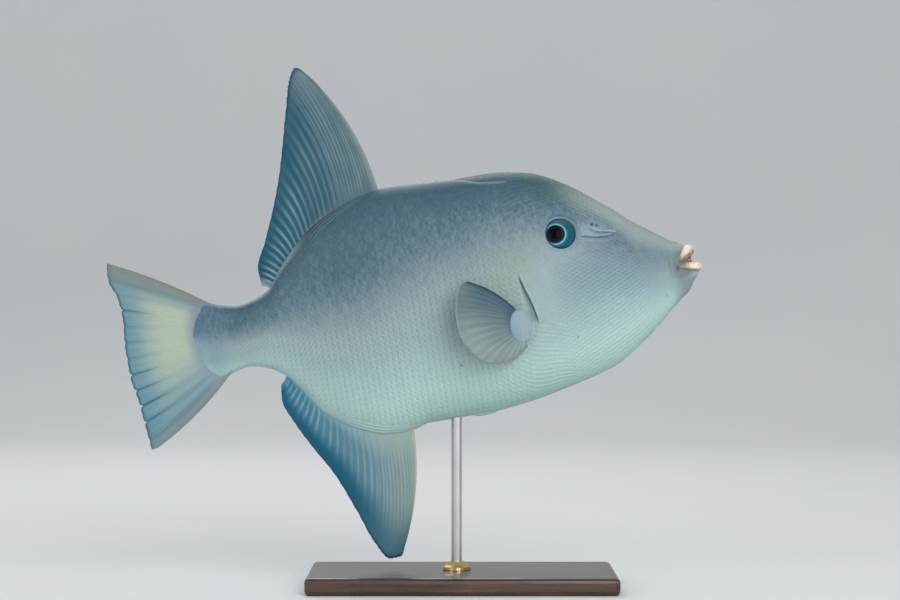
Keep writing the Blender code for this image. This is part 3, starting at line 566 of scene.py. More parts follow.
def markings(u, side, v):
    """What the skin's colours follow: its tone from belly to back, and how much of each mark is there."""
    height = height_at(u, v)
    tone = height
    for amount, at, half, comes, goes in TONE_HUMPS:
        tone = tone + amount * bump_at(height, at, half) * ease(u, *comes) * ease(u, *goes)
    tone = np.minimum(tone, 0.765 + 0.235 * ease(u, 0.082, 0.118) - 0.10 * ease(u, 0.335, 0.372))
    # rim: the paler top of the head's front, and the painted highlight along the ridge of the back
    rim = ease(u, 0.115, 0.060) * ease(height, 0.84 - 0.22 * ease(u, 0.070, 0.035), 0.95)
    for strength, heights, comes, goes in RIDGE_HIGHLIGHTS:
        rim = np.maximum(rim, strength * ease(height, *heights) * ease(u, *comes) * ease(u, *goes))

    behind, width, span = gill_zone(u, v)
    # Painted shade in the gill slit and in the hollow behind it
    slit = bump_at(behind, 0.0003, 0.0006) * span
    crescent = ease(behind, 0.0, 0.0004) * (1.0 - ease(behind / width, 0.2, 1.15)) * span
    over, under = fold_zone(u, v)
    hollow, lip = hollow_zone(u, v)
    low_rear = ease(u, 0.240, 0.290) * ease(height, 0.38, 0.14)
    hollow_shade = hollow * (0.34 + 0.22 * bump_at(lip, 0.0018, 0.0018))
    # shade: painted shade in the gill slit and its hollow, between the folds beside the dorsal fin, in the
    # creases, nostrils, the mouth's corner and the spines' hollow, with a darker low rear and real dark
    # specks
    lit, shade = 0.0, most(0.85 * slit, 0.42 * crescent, 0.22 * over, 0.13 * low_rear)
    # Painted shade in each crease and a painted highlight along its upper edge
    for line, half, strength in CREASE_SHADE_LINES:
        shade = np.maximum(shade, strength * bump_at(distance_to_line(line, u, v), 0.0, half))
        lit = np.maximum(lit, 0.5 * bump_at(distance_to_line(line, u, v - LIT_ABOVE), 0.0, half))
    for spot_u, spot_v, size, strength, sides in DARK_SPOTS:
        near = bump_at(np.hypot(u - spot_u, v - spot_v), 0.0, size)
        shade = np.maximum(shade, strength * near * np.isin(np.sign(side), sides))
    shade = np.maximum(shade, hollow_shade)

    chin = ease(u, 0.0300, 0.0140) * ease(v, -0.0040, -0.0100)
    # A painted highlight along the lip of the spines' groove
    groove_rim = bump_at(lip, 0.0, 0.0007) * ease(u, *GROOVE_FROM) * ease(u, 0.200, 0.190)
    # pale: painted highlights on the gill cover's edge, above the creases and on the groove's lip, with the
    # real pale band by the anal fin and patch by the nostrils
    pale = most(
        0.25 * bump_at(behind, -0.0010, 0.0008) * span, 0.40 * under, lit * (1.0 - shade),
        0.40 * hump(oval(u, v, *NOSTRIL_PATCH)) * (1.0 - shade), 0.26 * groove_rim,
    )
    brow = ease(u, 0.135, 0.115) * ease(height, 0.80, 0.92) * ease(u, 0.03, 0.05)
    cheek = hump(oval(u, v, *CHEEK_PATCH))
    net = np.maximum(cheek, 0.35 - 0.17 * ease(height, 0.35, 0.18)) * (1.0 - 0.7 * smooth_zone(u, v))
    low_end = ease(u, 0.346, 0.372) * ease(height, 0.3, 0.5)
    tone = tone - 0.12 * hollow - 0.09 * low_end - 0.12 * hump(oval(u, height, *BRIGHT_CHEEK))
    olive = hump(oval(u, v, *OLIVE_PATCH)) + 0.8 * brow + hollow
    lavender = cheek + 0.8 * ease(u, 0.352, 0.372)
    return {
        "tone": tone, "rim": rim, "shade": shade, "pale": pale, "net": net,
        "pad": np.maximum(ease(oval(u, v, *MUZZLE_PAD), 1.20, 0.45), 0.85 * chin),
        "hue": np.clip(olive - lavender, -1.0, 1.0),
    }


class Field:
    """A socket of a shader that takes Python arithmetic, adding the Math nodes it stands for."""

    def __init__(self, shader, socket):
        self.shader, self.socket = shader, socket

    def math(self, operation, *others):
        return self.shader.math(operation, self, *others)

    def __add__(self, other):
        return self.math("ADD", other)

    __radd__ = __add__

    def __sub__(self, other):
        return self.math("SUBTRACT", other)

    def __rsub__(self, other):
        return self.shader.math("SUBTRACT", other, self)

    def __mul__(self, other):
        return self.math("MULTIPLY", other)

    __rmul__ = __mul__

    def __truediv__(self, other):
        return self.math("DIVIDE", other)

    def __rtruediv__(self, other):
        return self.shader.math("DIVIDE", other, self)

    def between(self, low, high):
        """0 at low, 1 at high, smooth between."""
        settings = {"interpolation_type": "SMOOTHSTEP"}
        return self.shader.node("MapRange", settings, {"Value": self, "From Min": low, "From Max": high})


class Shader:
    """One material's nodes, with plain words for those this model uses."""

    def __init__(self, name):
        self.material = bpy.data.materials.new(name)
        self.material.use_nodes = True
        self.tree = self.material.node_tree
        self.surface = self.tree.nodes["Principled BSDF"]

    def node(self, kind, settings, sockets, output=0):
        """A node of this kind: its settings first, then its sockets' values or links."""
        node = self.tree.nodes.new("ShaderNode" + kind)
        for name, value in settings.items():
            if name == "stops":
                self.set_stops(node.color_ramp, value)
            else:
                setattr(node, name, value)
        for name, value in sockets.items():
            self.feed(node.inputs[name], value)
        return Field(self, node.outputs[output])

    def set_stops(self, ramp, stops):
        while len(ramp.elements) < len(stops):
            ramp.elements.new(1.0)
        for element, (at, rgb) in zip(ramp.elements, stops):
            element.position = at
            element.color = (*paint(*rgb), 1.0)

    def feed(self, socket, value):
        if isinstance(value, Field):
            self.tree.links.new(value.socket, socket)
        elif isinstance(value, tuple) and socket.type == "RGBA":
            socket.default_value = (*value, 1.0)
        else:
            socket.default_value = value

    def math(self, operation, *values):
        return self.node("Math", {"operation": operation}, dict(enumerate(values)))

    def mix(self, share, first, second, blend="MIX"):
        """One colour turning into another, or multiplied by it."""
        settings = {"data_type": "RGBA", "blend_type": blend}
        return self.node("Mix", settings, {0: share, 6: first, 7: second}, 2)

    def multiply(self, first, second):
        return self.mix(1.0, first, second, "MULTIPLY")

    def lit(self, colour, light):
        """A colour made lighter or darker by a value."""
        return self.multiply(colour, self.node("CombineColor", {}, {0: light, 1: light, 2: light}))

    def attribute(self, name):
        return self.node("Attribute", {"attribute_name": name}, {}, 2)

    def ramp(self, value, stops):
        return self.node("ValToRGB", {"stops": stops}, {"Fac": value})

    def place(self):
        return self.node("TexCoord", {}, {}, 3)

    def stretched(self, *scale):
        return self.node("Mapping", {}, {"Vector": self.place(), "Scale": scale})

    def along_fish(self, *stretch):
        """Object coordinates turned to the fish's own axes and stretched."""
        turned = self.node("Mapping", {}, {"Vector": self.place(), "Rotation": (0.0, NOSE_UP, 0.0)})
        return self.node("VectorMath", {"operation": "MULTIPLY"}, {0: turned, 1: stretch})

    def noise(self, scale, detail=2.0, vector=None, roughness=0.5):
        sockets = {"Vector": vector or self.place(), "Scale": scale, "Detail": detail, "Roughness": roughness}
        return self.node("TexNoise", {}, sockets)

    def bump(self, height, strength, distance):
        return self.node("Bump", {}, {"Height": height, "Strength": strength, "Distance": distance})

    def finish(self, **sockets):
        """Feeds the surface's sockets, named in small letters, and hands over the material."""
        for name, value in sockets.items():
            self.feed(self.surface.inputs[name.replace("_", " ").title().replace("Ior", "IOR")], value)
        return self.material


def paint(red, green, blue):
    """A colour given as it would be mixed by eye, in the shader's own linear values."""
    return tuple((channel / 255.0) ** 2.2 for channel in (red, green, blue))


# Skin colours from belly to back; the first stop, a little darker than the next, is painted shade along the
# belly's edge
FLANK_TONES = (
    (0.00, (160, 196, 190)), (0.14, (170, 200, 194)), (0.25, (160, 187, 184)), (0.36, (148, 171, 171)),
    (0.50, (142, 162, 165)), (0.63, (125, 144, 149)), (0.78, (95, 119, 130)), (0.87, (74, 102, 115)),
    (1.00, (62, 90, 103)),
)


def skin_material(name, grain, relief_strength):
    """Counter-shaded skin: pale below, slate above, mottled finely, more so on the back."""
    skin = Shader(name)
    tone, rise, hue = skin.attribute("tone"), skin.attribute("rise"), skin.attribute("hue")
    own = skin.attribute("own") - 0.5
    grain_field = skin.noise(420.0, 3.0, skin.along_fish(1.0, 1.0, 0.45))
    patch, fleck, pore = skin.noise(55.0, 3.0), skin.noise(900.0), skin.noise(1400.0)
    upper = tone.between(0.45, 0.85)
    shifted = tone + (patch - 0.5) * 0.06 + (grain_field - 0.5) * (0.06 + upper * 0.22)
    shifted = shifted + own * (grain * 0.02) + own * upper * (grain * 0.04)
    colour = skin.ramp(shifted, FLANK_TONES)
    colour = skin.mix(hue.between(0.0, 1.0), colour, skin.multiply(colour, paint(252, 250, 236)))
    colour = skin.mix((hue * -1.0).between(0.0, 1.0), colour, skin.multiply(colour, paint(232, 240, 252)))
    # rim: the paler top of the head's front, and the painted highlight along the ridge of the back
    colour = skin.mix(skin.attribute("rim") * 0.85, colour, paint(158, 172, 170))
    colour = skin.mix(skin.attribute("pad") * 0.88, colour, paint(106, 119, 118))
    # pale: painted highlights along ridges and edges, and real pale patches
    colour = skin.mix(skin.attribute("pale"), colour, paint(168, 190, 200))
    # shade: painted shade in slits, creases, hollows and between folds, with real dark specks and a darker
    # low rear
    colour = skin.mix(skin.attribute("shade"), colour, paint(44, 62, 72))
    light = (fleck - 0.5) * 0.18 + 0.99 + (0.45 - rise) * skin.attribute("net") * 0.46
    return skin.finish(
        base_color=skin.lit(colour, light + skin.attribute("column")), specular_ior_level=0.26,
        roughness=0.48 + (grain_field - 0.5) * 0.2, coat_weight=0.04 + (patch - 0.5) * 0.04,
        coat_roughness=0.3, normal=skin.bump(pore + grain_field * 0.7, relief_strength, 0.0004),
    )


def link(name, data):
    """A new object of the scene that holds this mesh, lamp or camera."""
    obj = bpy.data.objects.new(name, data)
    bpy.context.scene.collection.objects.link(obj)
    return obj


def new_mesh(name, points, faces, material, attributes=None, uv=None):
    """A smooth mesh from arrays: faces all of one count, or a list of arrays of faces."""
    groups = faces if isinstance(faces, list) else [faces]
    corners = np.concatenate([group.reshape(-1) for group in groups]).astype(np.int32)
    counts = np.concatenate([np.full(len(group), group.shape[1]) for group in groups])
    starts = np.r_[0, np.cumsum(counts)[:-1]].astype(np.int32)
    mesh = bpy.data.meshes.new(name)
    mesh.vertices.add(len(points))
    mesh.vertices.foreach_set("co", np.ascontiguousarray(points, np.float32).reshape(-1))
    mesh.loops.add(len(corners))
    mesh.loops.foreach_set("vertex_index", corners)
    mesh.polygons.add(len(starts))
    mesh.polygons.foreach_set("loop_start", starts)
    mesh.update(calc_edges=True)
    for key, values in (attributes or {}).items():
        layer = mesh.attributes.new(key, "FLOAT", "POINT")
        layer.data.foreach_set("value", np.ascontiguousarray(values, np.float32).reshape(-1))
    if uv is not None:
        layer = mesh.uv_layers.new(name="OFBake")
        layer.data.foreach_set("uv", np.ascontiguousarray(uv[corners], np.float32).reshape(-1))
    mesh.polygons.foreach_set("use_smooth", np.full(len(starts), True))
    mesh.materials.append(material)
    return link(name, mesh)


def grid_faces(columns, rows, closed=False):
    """Quads of a grid of points stored column by column; closed joins the last row to the first."""
    spans = rows if closed else rows - 1
    i, j = np.meshgrid(np.arange(columns - 1), np.arange(spans), indexing="ij")
    after = (j + 1) % rows
    corners = [i * rows + j, (i + 1) * rows + j, (i + 1) * rows + after, i * rows + after]
    return np.stack(corners, -1).reshape(-1, 4)


def turned_out(points, groups):
    """Groups of faces of a closed piece, turned round where they look inwards."""
    volume = 0.0
    for group in groups:
        first = points[group[:, 0]]
        for step in range(1, group.shape[1] - 1):
            volume += (first * np.cross(points[group[:, step]], points[group[:, step + 1]])).sum()
    return groups if volume > 0.0 else [group[:, ::-1] for group in groups]


def capped(points):
    """Points and faces of rings joined to a tube, each end closed by a fan."""
    rings, ring = points.shape[:2]
    flat = np.concatenate([points.reshape(-1, 3), [points[0].mean(0), points[-1].mean(0)]])
    first = np.arange(ring)
    after = (first + 1) % ring
    last = (rings - 1) * ring
    front = np.stack([np.full(ring, len(flat) - 2), first, after], -1)
    rear = np.stack([np.full(ring, len(flat) - 1), last + after, last + first], -1)
    return flat, turned_out(flat, [grid_faces(rings, ring, True), front, rear])


def capped_values(values):
    """A tube's values by name, each with one more for the middle of either end."""
    return {
        key: np.concatenate([value.reshape(-1), [value[0].mean(), value[-1].mean()]])
        for key, value in values.items()
    }


def tube(points, radii, ring):
    """Rings round a line of points; radii may be one for each point or for each point and ring step."""
    heading = unit(np.gradient(points, axis=0))
    level = np.cross(heading, (0.0, 0.0, 1.0))
    level = unit(np.where(np.linalg.norm(level, axis=1, keepdims=True) < 1e-6, (1.0, 0.0, 0.0), level))
    upright_way = np.cross(level, heading)
    turn = full_turn(ring)
    radii = radii[:, None] if radii.ndim == 1 else radii
    out = np.cos(turn)[None, :, None] * level[:, None] + np.sin(turn)[None, :, None] * upright_way[:, None]
    return points[:, None] + out * np.broadcast_to(radii, (len(points), ring))[..., None]


def bare_markings(points):
    """The markings of skin that carries no scales."""
    marks = markings(*fish_axes(points.reshape(-1, 3)))
    plain = np.zeros(points.size // 3)
    return dict(marks, own=plain + 0.5, rise=plain + 0.25, column=plain)


def make_skin():
    """The whole body's skin as one sheet, its ends drawn closed."""
    stations, start = [], SKIN_STARTS
    for end, spacing in SKIN_STRETCHES:
        count = round((end - start) / spacing)
        stations.append(np.linspace(start, end, count, endpoint=False))
        start = end
    stations = np.concatenate(stations + [[start]])
    even = np.linspace(0.0, 2.0 * math.pi, 4001)
    at_height, half, closer = CLOSER_STEPS
    steps = np.cumsum(1.0 + closer * bump_at(np.sin(even), at_height, half))
    shares = np.arange(SKIN_RING) / SKIN_RING
    turns = np.interp(shares, (steps - steps[0]) / (steps[-1] - steps[0]), even)
    u, angle = np.meshgrid(stations, turns, indexing="ij")
    along_slit = gill_line(body_point(u, angle)[2]) - gill_line(-0.004)
    u = u + along_slit * ease(u, 0.1100, 0.1290) * ease(u, 0.1600, 0.1380)
    flat, faces = capped(skin_surface(u, angle))
    uv = np.stack([u / stations[-1], angle / (2.0 * math.pi)], -1).reshape(-1, 2)
    uv = np.concatenate([uv, [[0.0, 0.5], [1.0, 0.5]]])
    material = skin_material("skin_between_scales", 0.0, 0.35)
    return new_mesh("fish_skin", flat, faces, material, bare_markings(flat), uv)


def scale_places():
    """Where the scales root: columns up each section, every other one shifted half a pitch."""
    pitch, columns = smooth_line(SCALE_PITCH), smooth_line(SCALE_COLUMNS)
    found = []
    u, column = SCALES_START, 0
    while u < SCALES_END:
        size = float(pitch(u))
        bend = SCALE_BEND * (1.0 - float(ease(u, 0.06, 0.14))) / (2.0 * (u - 0.008))
        for side, start in ((LEFT, 0.0), (RIGHT, math.pi)):
            for direction_up in (1.0, -1.0):
                quarter = np.linspace(0.0, math.pi / 2.0, SECTION_STEPS)
                turns = start + side * direction_up * quarter
                height = body_point(np.full(SECTION_STEPS, u), turns)[2] - middle(u)
                bent = np.maximum(u - bend * height ** 2, 0.60 * u)
                own = np.stack(body_point(bent, turns), -1)
                lengths = np.r_[0.0, np.cumsum(np.linalg.norm(np.diff(own, axis=0), axis=1))]
                shift = 0.5 if column % 2 else 0.0
                first = shift if direction_up > 0.0 else 1.0 - shift
                at = np.arange(first, lengths[-1] / size - 0.2, 1.0) * size
                angles, along_u = np.interp(at, lengths, turns), np.interp(at, lengths, bent)
                odd = np.full(len(at), column % 2)
                found.append(np.stack([along_u, angles, np.full(len(at), size), odd], -1))
        u += size * float(columns(u))
        column += 1
    return np.concatenate(found)


def scales_wanted(u, angle):
    """Scales stand clear of the eyes, nostrils, gill slits, lobes, groove, mouth and fin roots."""
    own_u, side, v = body_point(u, angle)
    points = place(own_u, side, v)
    behind, width, span = gill_zone(own_u, v)
    hollow, lip = hollow_zone(own_u, v)
    keep_these = ~((behind > -0.0022) & (behind < width + 0.0014) & (span > 0.05))
    keep_these &= np.maximum(*fold_zone(own_u, v)) < 0.5
    keep_these &= oval(own_u, v, LOBE_PLACE, LOBE_RADII) > 1.05
    keep_these &= groove_drop(own_u, side, v) < 0.0002
    keep_these &= (np.abs(np.sin(angle)) < BARE_RIDGE) | (own_u < 0.130)
    keep_these &= (hollow < 0.1) & ((lip > 0.0016) | (own_u > 0.196))
    for spot, radii in (NOSTRIL_BARE, MUZZLE_BARE):
        keep_these &= oval(own_u, v, spot, radii) > 1.0
    for line, _ in CREASES:
        keep_these &= distance_to_line(line, own_u, v) > 0.0035
    for middle_point, _ in EYES.values():
        keep_these &= np.linalg.norm(points - middle_point, axis=-1) > EYE_DISC + 0.0030
    return keep_these


def make_scales(material):
    """Raised rhombs over the skin, in pieces by stretch of the body and side."""
    places = scale_places()
    places = places[scales_wanted(places[:, 0], places[:, 1])]
    random = np.random.default_rng(11)
    on_left = np.cos(places[:, 1]) > 0.0
    pieces = []
    for low, high, part in SCALE_PARTS:
        for wanted, side_name in ((~on_left, "right"), (on_left, "left")):
            chosen = places[(places[:, 0] >= low) & (places[:, 0] < high) & wanted]
            pieces.append(scale_piece("scales_%s_%s" % (part, side_name), chosen, random, material))
    return pieces


def scale_piece(name, places, random, material):
    """One mesh of scales: rings of a low dome on each root, leaning back along the body."""
    u, angle, size, odd = places.T
    count = len(u)
    root = skin_surface(u, angle)
    facing = facing_of(skin_surface, u, angle, 0.0006)
    backwards = unit(skin_surface(u + 0.0008, angle) - root)
    backwards = unit(backwards - (backwards * facing).sum(-1, keepdims=True) * facing)
    upwards = np.cross(facing, backwards)
    turns = full_turn(SCALE_RING)
    across, up = np.cos(turns), np.sin(turns)
    brick = ease(u, *BRICKS_FROM)
    power = (1.30 - 0.75 * brick)[:, None]
    spacing = smooth_line(SCALE_COLUMNS)(u) * (0.97 - 0.43 * brick)
    long = size * spacing * random.uniform(0.97, 1.03, count)
    tall = size * random.uniform(0.46, 0.49, count)
    root_u, root_side, root_v = fish_axes(root)
    tone = markings(root_u, root_side, root_v)["tone"]
    low = 1.0 - 0.7 * smooth_zone(root_u, root_v)
    low = low * (1.0 - 0.85 * ease(np.abs(np.sin(angle)), 0.90, 0.98))
    height = smooth_line(SCALE_HEIGHTS)(u) * random.uniform(0.85, 1.15, count) * low
    height = height * (1.0 - 0.4 * ease(tone, 0.6, 0.8))
    tilt = random.uniform(0.10, 0.25, count)[:, None]
    lean = random.normal(0.0, 0.04, count)[:, None]
    rings = []
    for spread, rise in SCALE_OUTLINES:
        a = np.abs(across) ** power * np.sign(across) * spread
        b = np.abs(up) ** power * np.sign(up) * spread
        lift = height[:, None] * (rise + (tilt * a + lean * b) * (rise > 0.0))
        ring = root[:, None] + backwards[:, None] * (a * long[:, None])[..., None]
        ring = ring + upwards[:, None] * (b * tall[:, None])[..., None] + facing[:, None] * lift[..., None]
        rings.append(ring)
    crown = (root + facing * (height * 1.06)[:, None])[:, None]
    points = np.concatenate(rings + [crown], 1)
    each = points.shape[1]

    i, after = np.arange(SCALE_RING), np.roll(np.arange(SCALE_RING), -1)
    top = SCALE_RING * (len(SCALE_OUTLINES) - 1)
    quads = np.concatenate([
        np.stack([i + k, after + k, after + k + SCALE_RING, i + k + SCALE_RING], -1)
        for k in range(0, top, SCALE_RING)
    ])
    fans = np.stack([i + top, after + top, np.full(SCALE_RING, each - 1)], -1)
    if (np.cross(backwards, upwards) * facing).sum(-1).mean() < 0.0:
        quads, fans = quads[:, ::-1], fans[:, ::-1]
    base = np.arange(count)[:, None, None] * each
    faces = [(base + quads[None]).reshape(-1, 4), (base + fans[None]).reshape(-1, 3)]

    flat = points.reshape(-1, 3)
    attributes = markings(*fish_axes(flat))
    streaked = brick * ease(u, 0.345, 0.320) * ease(tone, 0.80, 0.45)
    rises = np.concatenate([np.full(SCALE_RING, rise) for _, rise in SCALE_OUTLINES] + [[1.0]])
    attributes["own"] = np.repeat(random.uniform(0.0, 1.0, count), each)
    attributes["column"] = np.repeat((0.5 - odd) * COLUMN_CONTRAST * streaked, each)
    attributes["rise"] = np.tile(rises, count)
    circle = np.stack([across, up], -1)
    patch = np.concatenate([circle * spread for spread, _ in SCALE_OUTLINES] + [np.zeros((1, 2))])
    roots = np.stack([u / SKIN_ENDS, (angle / (2.0 * math.pi)) % 1.0], -1)
    uv = (roots[:, None] + patch[None] * SCALE_PATCH / 2.0).reshape(-1, 2)
    return new_mesh(name, flat, faces, material, attributes, uv)


def fin_points(root, edge, bows, fan, shares, reaches):
    """Points (u, v) of a fin for each share of its root and reach along a ray."""
    start, end = along(root, shares), along(edge, smooth_line(fan)(shares))
    chord = (end - start)[:, None]
    across = np.stack([-chord[..., 1], chord[..., 0]], -1)
    bow = (bows[0] + (bows[1] - bows[0]) * shares)[:, None] * 2.0 * reaches * (1.0 - reaches)
    return start[:, None] + chord * reaches[..., None] + across * bow[..., None]


def ray_pattern(shares, reaches, rays, centred, spread, half, streaks):
    """How much of a ray stands at each place: broad at the root, parted in two towards the edge."""
    crowded = shares if centred else 0.8 * shares + 0.2 * shares ** 2
    at = crowded[:, None] * (rays if centred else rays - 1)
    within = at - np.floor(at) - 0.5 if centred else at - np.round(at)
    front = 0.0 if centred else 0.25 * ease(shares, 0.42, 0.22)[:, None]
    parted = np.maximum(spread * ease(reaches, 0.35, 1.0), front)
    near = np.abs(np.abs(within) - parted)
    ray = np.exp(-(near / (half[0] + (half[1] - half[0]) * reaches)) ** 2)
    if streaks:
        ray = ray * (0.86 + 0.14 * np.cos(2.0 * math.pi * streaks * within))
    return ray


def make_fin(name, root, edge, bows, fan, rays, to_fish, settings, material):
    """A fin as a thin closed sheet with its rays raised in both faces and its edge notched."""
    columns, rows = rays * settings["per_ray"] + 1, settings["rows"]
    shares = np.linspace(0.0, 1.0, columns)
    reaches = np.tile(np.linspace(0.0, 1.0, rows) ** 0.9, (columns, 1))
    rise = ray_pattern(shares, reaches, rays, settings["centred"], *settings["pattern"])
    random = np.random.default_rng(settings["seed"])
    at = shares * rays
    nearest = np.round(at).astype(int)
    ragged = np.interp(at, np.arange(rays + 1), random.uniform(-1.0, 1.0, rays + 1))
    split = np.array(settings["splits"])[nearest % len(settings["splits"])]
    split = (split * bump_at(at - nearest, 0.0, 0.07))[:, None] * ease(reaches, 0.55, 0.90)
    notch = settings["notch"] * (1.0 - rise[:, -1:]) + settings["ragged"] * (0.5 + 0.5 * ragged[:, None])
    reached = reaches * (1.0 - (notch + 0.03 * split[:, -1:]) * reaches ** 4)
    spots = fin_points(root, edge, bows, fan, shares, reached)
    half = settings["film"] + settings["root_half"] * (1.0 - reaches) ** 5
    half = half + settings["ray_height"] * rise * (1.0 - 0.6 * reaches)
    spread = np.broadcast_to(shares[:, None], rise.shape)
    u, v = np.moveaxis(spots, -1, 0)
    under, over = [to_fish(u, v, side * half, spread, reaches) for side in (-1.0, 1.0)]
    own = random.uniform(0.0, 1.0, rays + 2)[np.clip(nearest, 0, rays + 1)]
    own = np.broadcast_to(own[:, None], rise.shape)
    attributes = {"ray": rise, "share": spread, "reach": reaches, "own": own, "split": split}
    return sheet(name, under, over, material, attributes)


def sheet(name, under, over, material, attributes):
    """Two alike grids joined round their rim."""
    columns, rows = under.shape[:2]
    count = columns * rows
    one = grid_faces(columns, rows)
    index = np.arange(count).reshape(columns, rows)
    rim = np.concatenate([index[:, 0], index[-1, 1:], index[-2::-1, -1], index[0, -2:0:-1]])
    after = np.roll(rim, -1)
    edge = np.stack([rim + count, after + count, after, rim], -1)
    faces = [one, one[:, ::-1] + count, edge]
    points = np.concatenate([under.reshape(-1, 3), over.reshape(-1, 3)])
    doubled = {key: np.tile(values.reshape(-1), 2) for key, values in attributes.items()}
    return new_mesh(name, points, turned_out(points, faces), material, doubled)


def upright(wave):
    """Puts a fin on the middle plane, with a slight wave across it."""
    def to_fish(u, v, half, share, reach):
        swing = np.sin(2.0 * math.pi * FIN_WAVES * share)
        flutter = 0.0005 * np.sin(2.0 * math.pi * 5.0 * share + 4.0 * reach) * reach
        return place(u, half + wave * reach * reach * swing + flutter, v)

    return to_fish


UPRIGHT_FIN = {
    "per_ray": 16, "rows": 48, "centred": False, "pattern": (0.10, (0.24, 0.17), 0), "splits": (0.0,),
    "notch": 0.005, "ragged": 0.003, "film": 0.00016, "root_half": FIN_ROOT_HALF_THICKNESS,
    "ray_height": 0.00026,
}
CAUDAL_FIN = dict(
    UPRIGHT_FIN, per_ray=30, rows=54, centred=True, pattern=(0.20, (0.42, 0.22), 5), notch=0.007,
    ragged=0.005, splits=(0.0, 0.15, 0.1, 0.6, 0.1, 0.2, 0.15, 0.8, 0.7, 1.0, 0.7, 0.2), seed=23,
)
PECTORAL_FIN = dict(
    UPRIGHT_FIN, per_ray=14, rows=40, pattern=(0.14, (0.22, 0.15), 0), root_half=0.0010,
    ray_height=0.00022, seed=24,
)


# How a fin is painted. Its places are shares from its first ray to its last ("from") and reaches from
# its root to its edge ("reach"); a pair of paints runs from the first rays to the last.
FIN_PAINTS = {
    "heart_from": (0.03, 0.36), "heart_reach": (0.30, 0.95), "heart_share": 0.5, "root_from": (0.2, 0.8),
}


DORSAL_PAINTS = dict(
    FIN_PAINTS, film=((64, 92, 102), (30, 84, 100)), ray=((112, 132, 136), (124, 158, 168)),
    fading=(0.68, 0.97), fade=0.7, heart=(54, 82, 96), root=((78, 98, 110), (166, 172, 158)),
    root_from=(0.34, 0.74), root_reach=(0.02, 0.15), deep=(10, 74, 92), deep_from=(0.08, 0.40),
    deep_reach=(0.42, 0.90), deepness=0.72, tip=(132, 148, 150), tipness=0.45, edge=(26, 60, 76),
    front=(132, 140, 134), back=(150, 168, 166), margin=0.055,
)


ANAL_PAINTS = dict(
    FIN_PAINTS, film=((112, 136, 137), (58, 112, 136)), ray=((146, 161, 155), (116, 156, 176)),
    fading=(0.45, 0.88), fade=0.9, heart=(108, 136, 142), heart_share=0.45,
    root=((150, 168, 160), (134, 170, 186)), root_from=(0.10, 0.60), root_reach=(0.02, 0.34),
    deep=(4, 82, 106), deep_from=(0.08, 0.42), deep_reach=(0.52, 0.90), deepness=0.90,
    tip=(18, 88, 106), tipness=0.9, edge=(20, 58, 80), front=(172, 172, 154), back=(112, 150, 166),
    margin=0.04,
)


CAUDAL_PAINTS = dict(
    FIN_PAINTS, film=((98, 130, 142), (92, 128, 144)), ray=((128, 152, 156), (120, 150, 160)),
    fading=(0.70, 0.99), fade=0.30, heart=(172, 184, 162), heart_from=(0.04, 0.22), heart_share=0.85,
    heart_reach=(0.45, 1.08), root=((124, 138, 150), (130, 148, 160)), root_reach=(0.13, 0.30),
    deep=(84, 134, 152), deep_from=(0.03, 0.10), deep_reach=(0.66, 0.97), deepness=0.42,
    tip=(120, 148, 156), tipness=0.5, edge=(44, 88, 106), front=(124, 126, 114), back=(128, 130, 120),
    margin=0.14,
)


PECTORAL_PAINTS = dict(
    FIN_PAINTS, film=((68, 92, 104), (132, 150, 145)), ray=((88, 110, 118), (158, 171, 163)),
    fading=(0.6, 0.99), fade=0.4, heart=(84, 106, 114), root=((62, 84, 98), (112, 132, 138)),
    root_reach=(0.05, 0.30), deep=(120, 134, 132), deep_from=(0.1, 0.6), deep_reach=(0.58, 0.95),
    deepness=0.25, tip=(112, 124, 124), tipness=0.6, edge=(132, 146, 142), front=(34, 50, 62),
    back=(140, 150, 142), margin=0.05,
)


def fin_material(name, paints):
    """Pale rays in a darker film, with the root, heart, tip and margins in paints of their own."""
    fin = Shader(name)
    share, reach, rise = fin.attribute("share"), fin.attribute("reach"), fin.attribute("ray")
    own = fin.attribute("own")
    along_rays = fin.node("CombineXYZ", {}, {0: share * 240.0, 1: reach * 4.0})
    streak = fin.node("TexNoise", {}, {"Vector": along_rays, "Scale": 1.0, "Detail": 2.0})
    cloud, fine = fin.noise(60.0, 3.0), fin.noise(900.0)

    def front_to_rear(key, across):
        return fin.mix(across, *(paint(*rgb) for rgb in paints[key]))

    def over(colour, key, mask):
        return fin.mix(mask, colour, paint(*paints[key]))

    rearness = share.between(0.06, 0.55)
    fade = 1.0 - reach.between(*paints["fading"]) * paints["fade"]
    uneven = 0.42 + own * 0.45 + (streak - 0.5) * 0.7 + (cloud - 0.5) * 0.7
    film, bone = front_to_rear("film", rearness), front_to_rear("ray", rearness)
    colour = fin.mix(rise.between(0.08, 0.95) * fade * uneven, film, bone)
    middle_share = share.between(*paints["heart_from"]) * (1.0 - share.between(0.50, 0.97))
    near_root = 1.0 - reach.between(*paints["heart_reach"])
    colour = over(colour, "heart", middle_share * near_root * paints["heart_share"])
    root = front_to_rear("root", share.between(*paints["root_from"]))
    colour = fin.mix((1.0 - reach.between(*paints["root_reach"])) * 0.85, colour, root)
    deep = reach.between(*paints["deep_reach"]) * share.between(*paints["deep_from"])
    colour = over(colour, "deep", deep * paints["deepness"])
    tip = reach.between(0.62, 1.0) * (1.0 - share.between(0.10, 0.38))
    colour = over(colour, "tip", tip * paints["tipness"])
    colour = fin.mix(fin.attribute("split") * 0.85, colour, paint(26, 74, 92))
    colour = over(colour, "edge", reach.between(0.955, 0.995) * 0.75)
    colour = over(colour, "front", (1.0 - share.between(0.0, paints["margin"])) * 0.8)
    colour = over(colour, "back", share.between(1.0 - paints["margin"], 1.0) * 0.6)
    return fin.finish(
        base_color=fin.lit(colour, (streak - 0.5) * 0.28 + (fine - 0.5) * 0.14 + 0.99),
        specular_ior_level=0.18, roughness=0.46 + (fine - 0.5) * 0.2,
        normal=fin.bump(fine * 0.5 + streak, 0.22, 0.0003),
    )


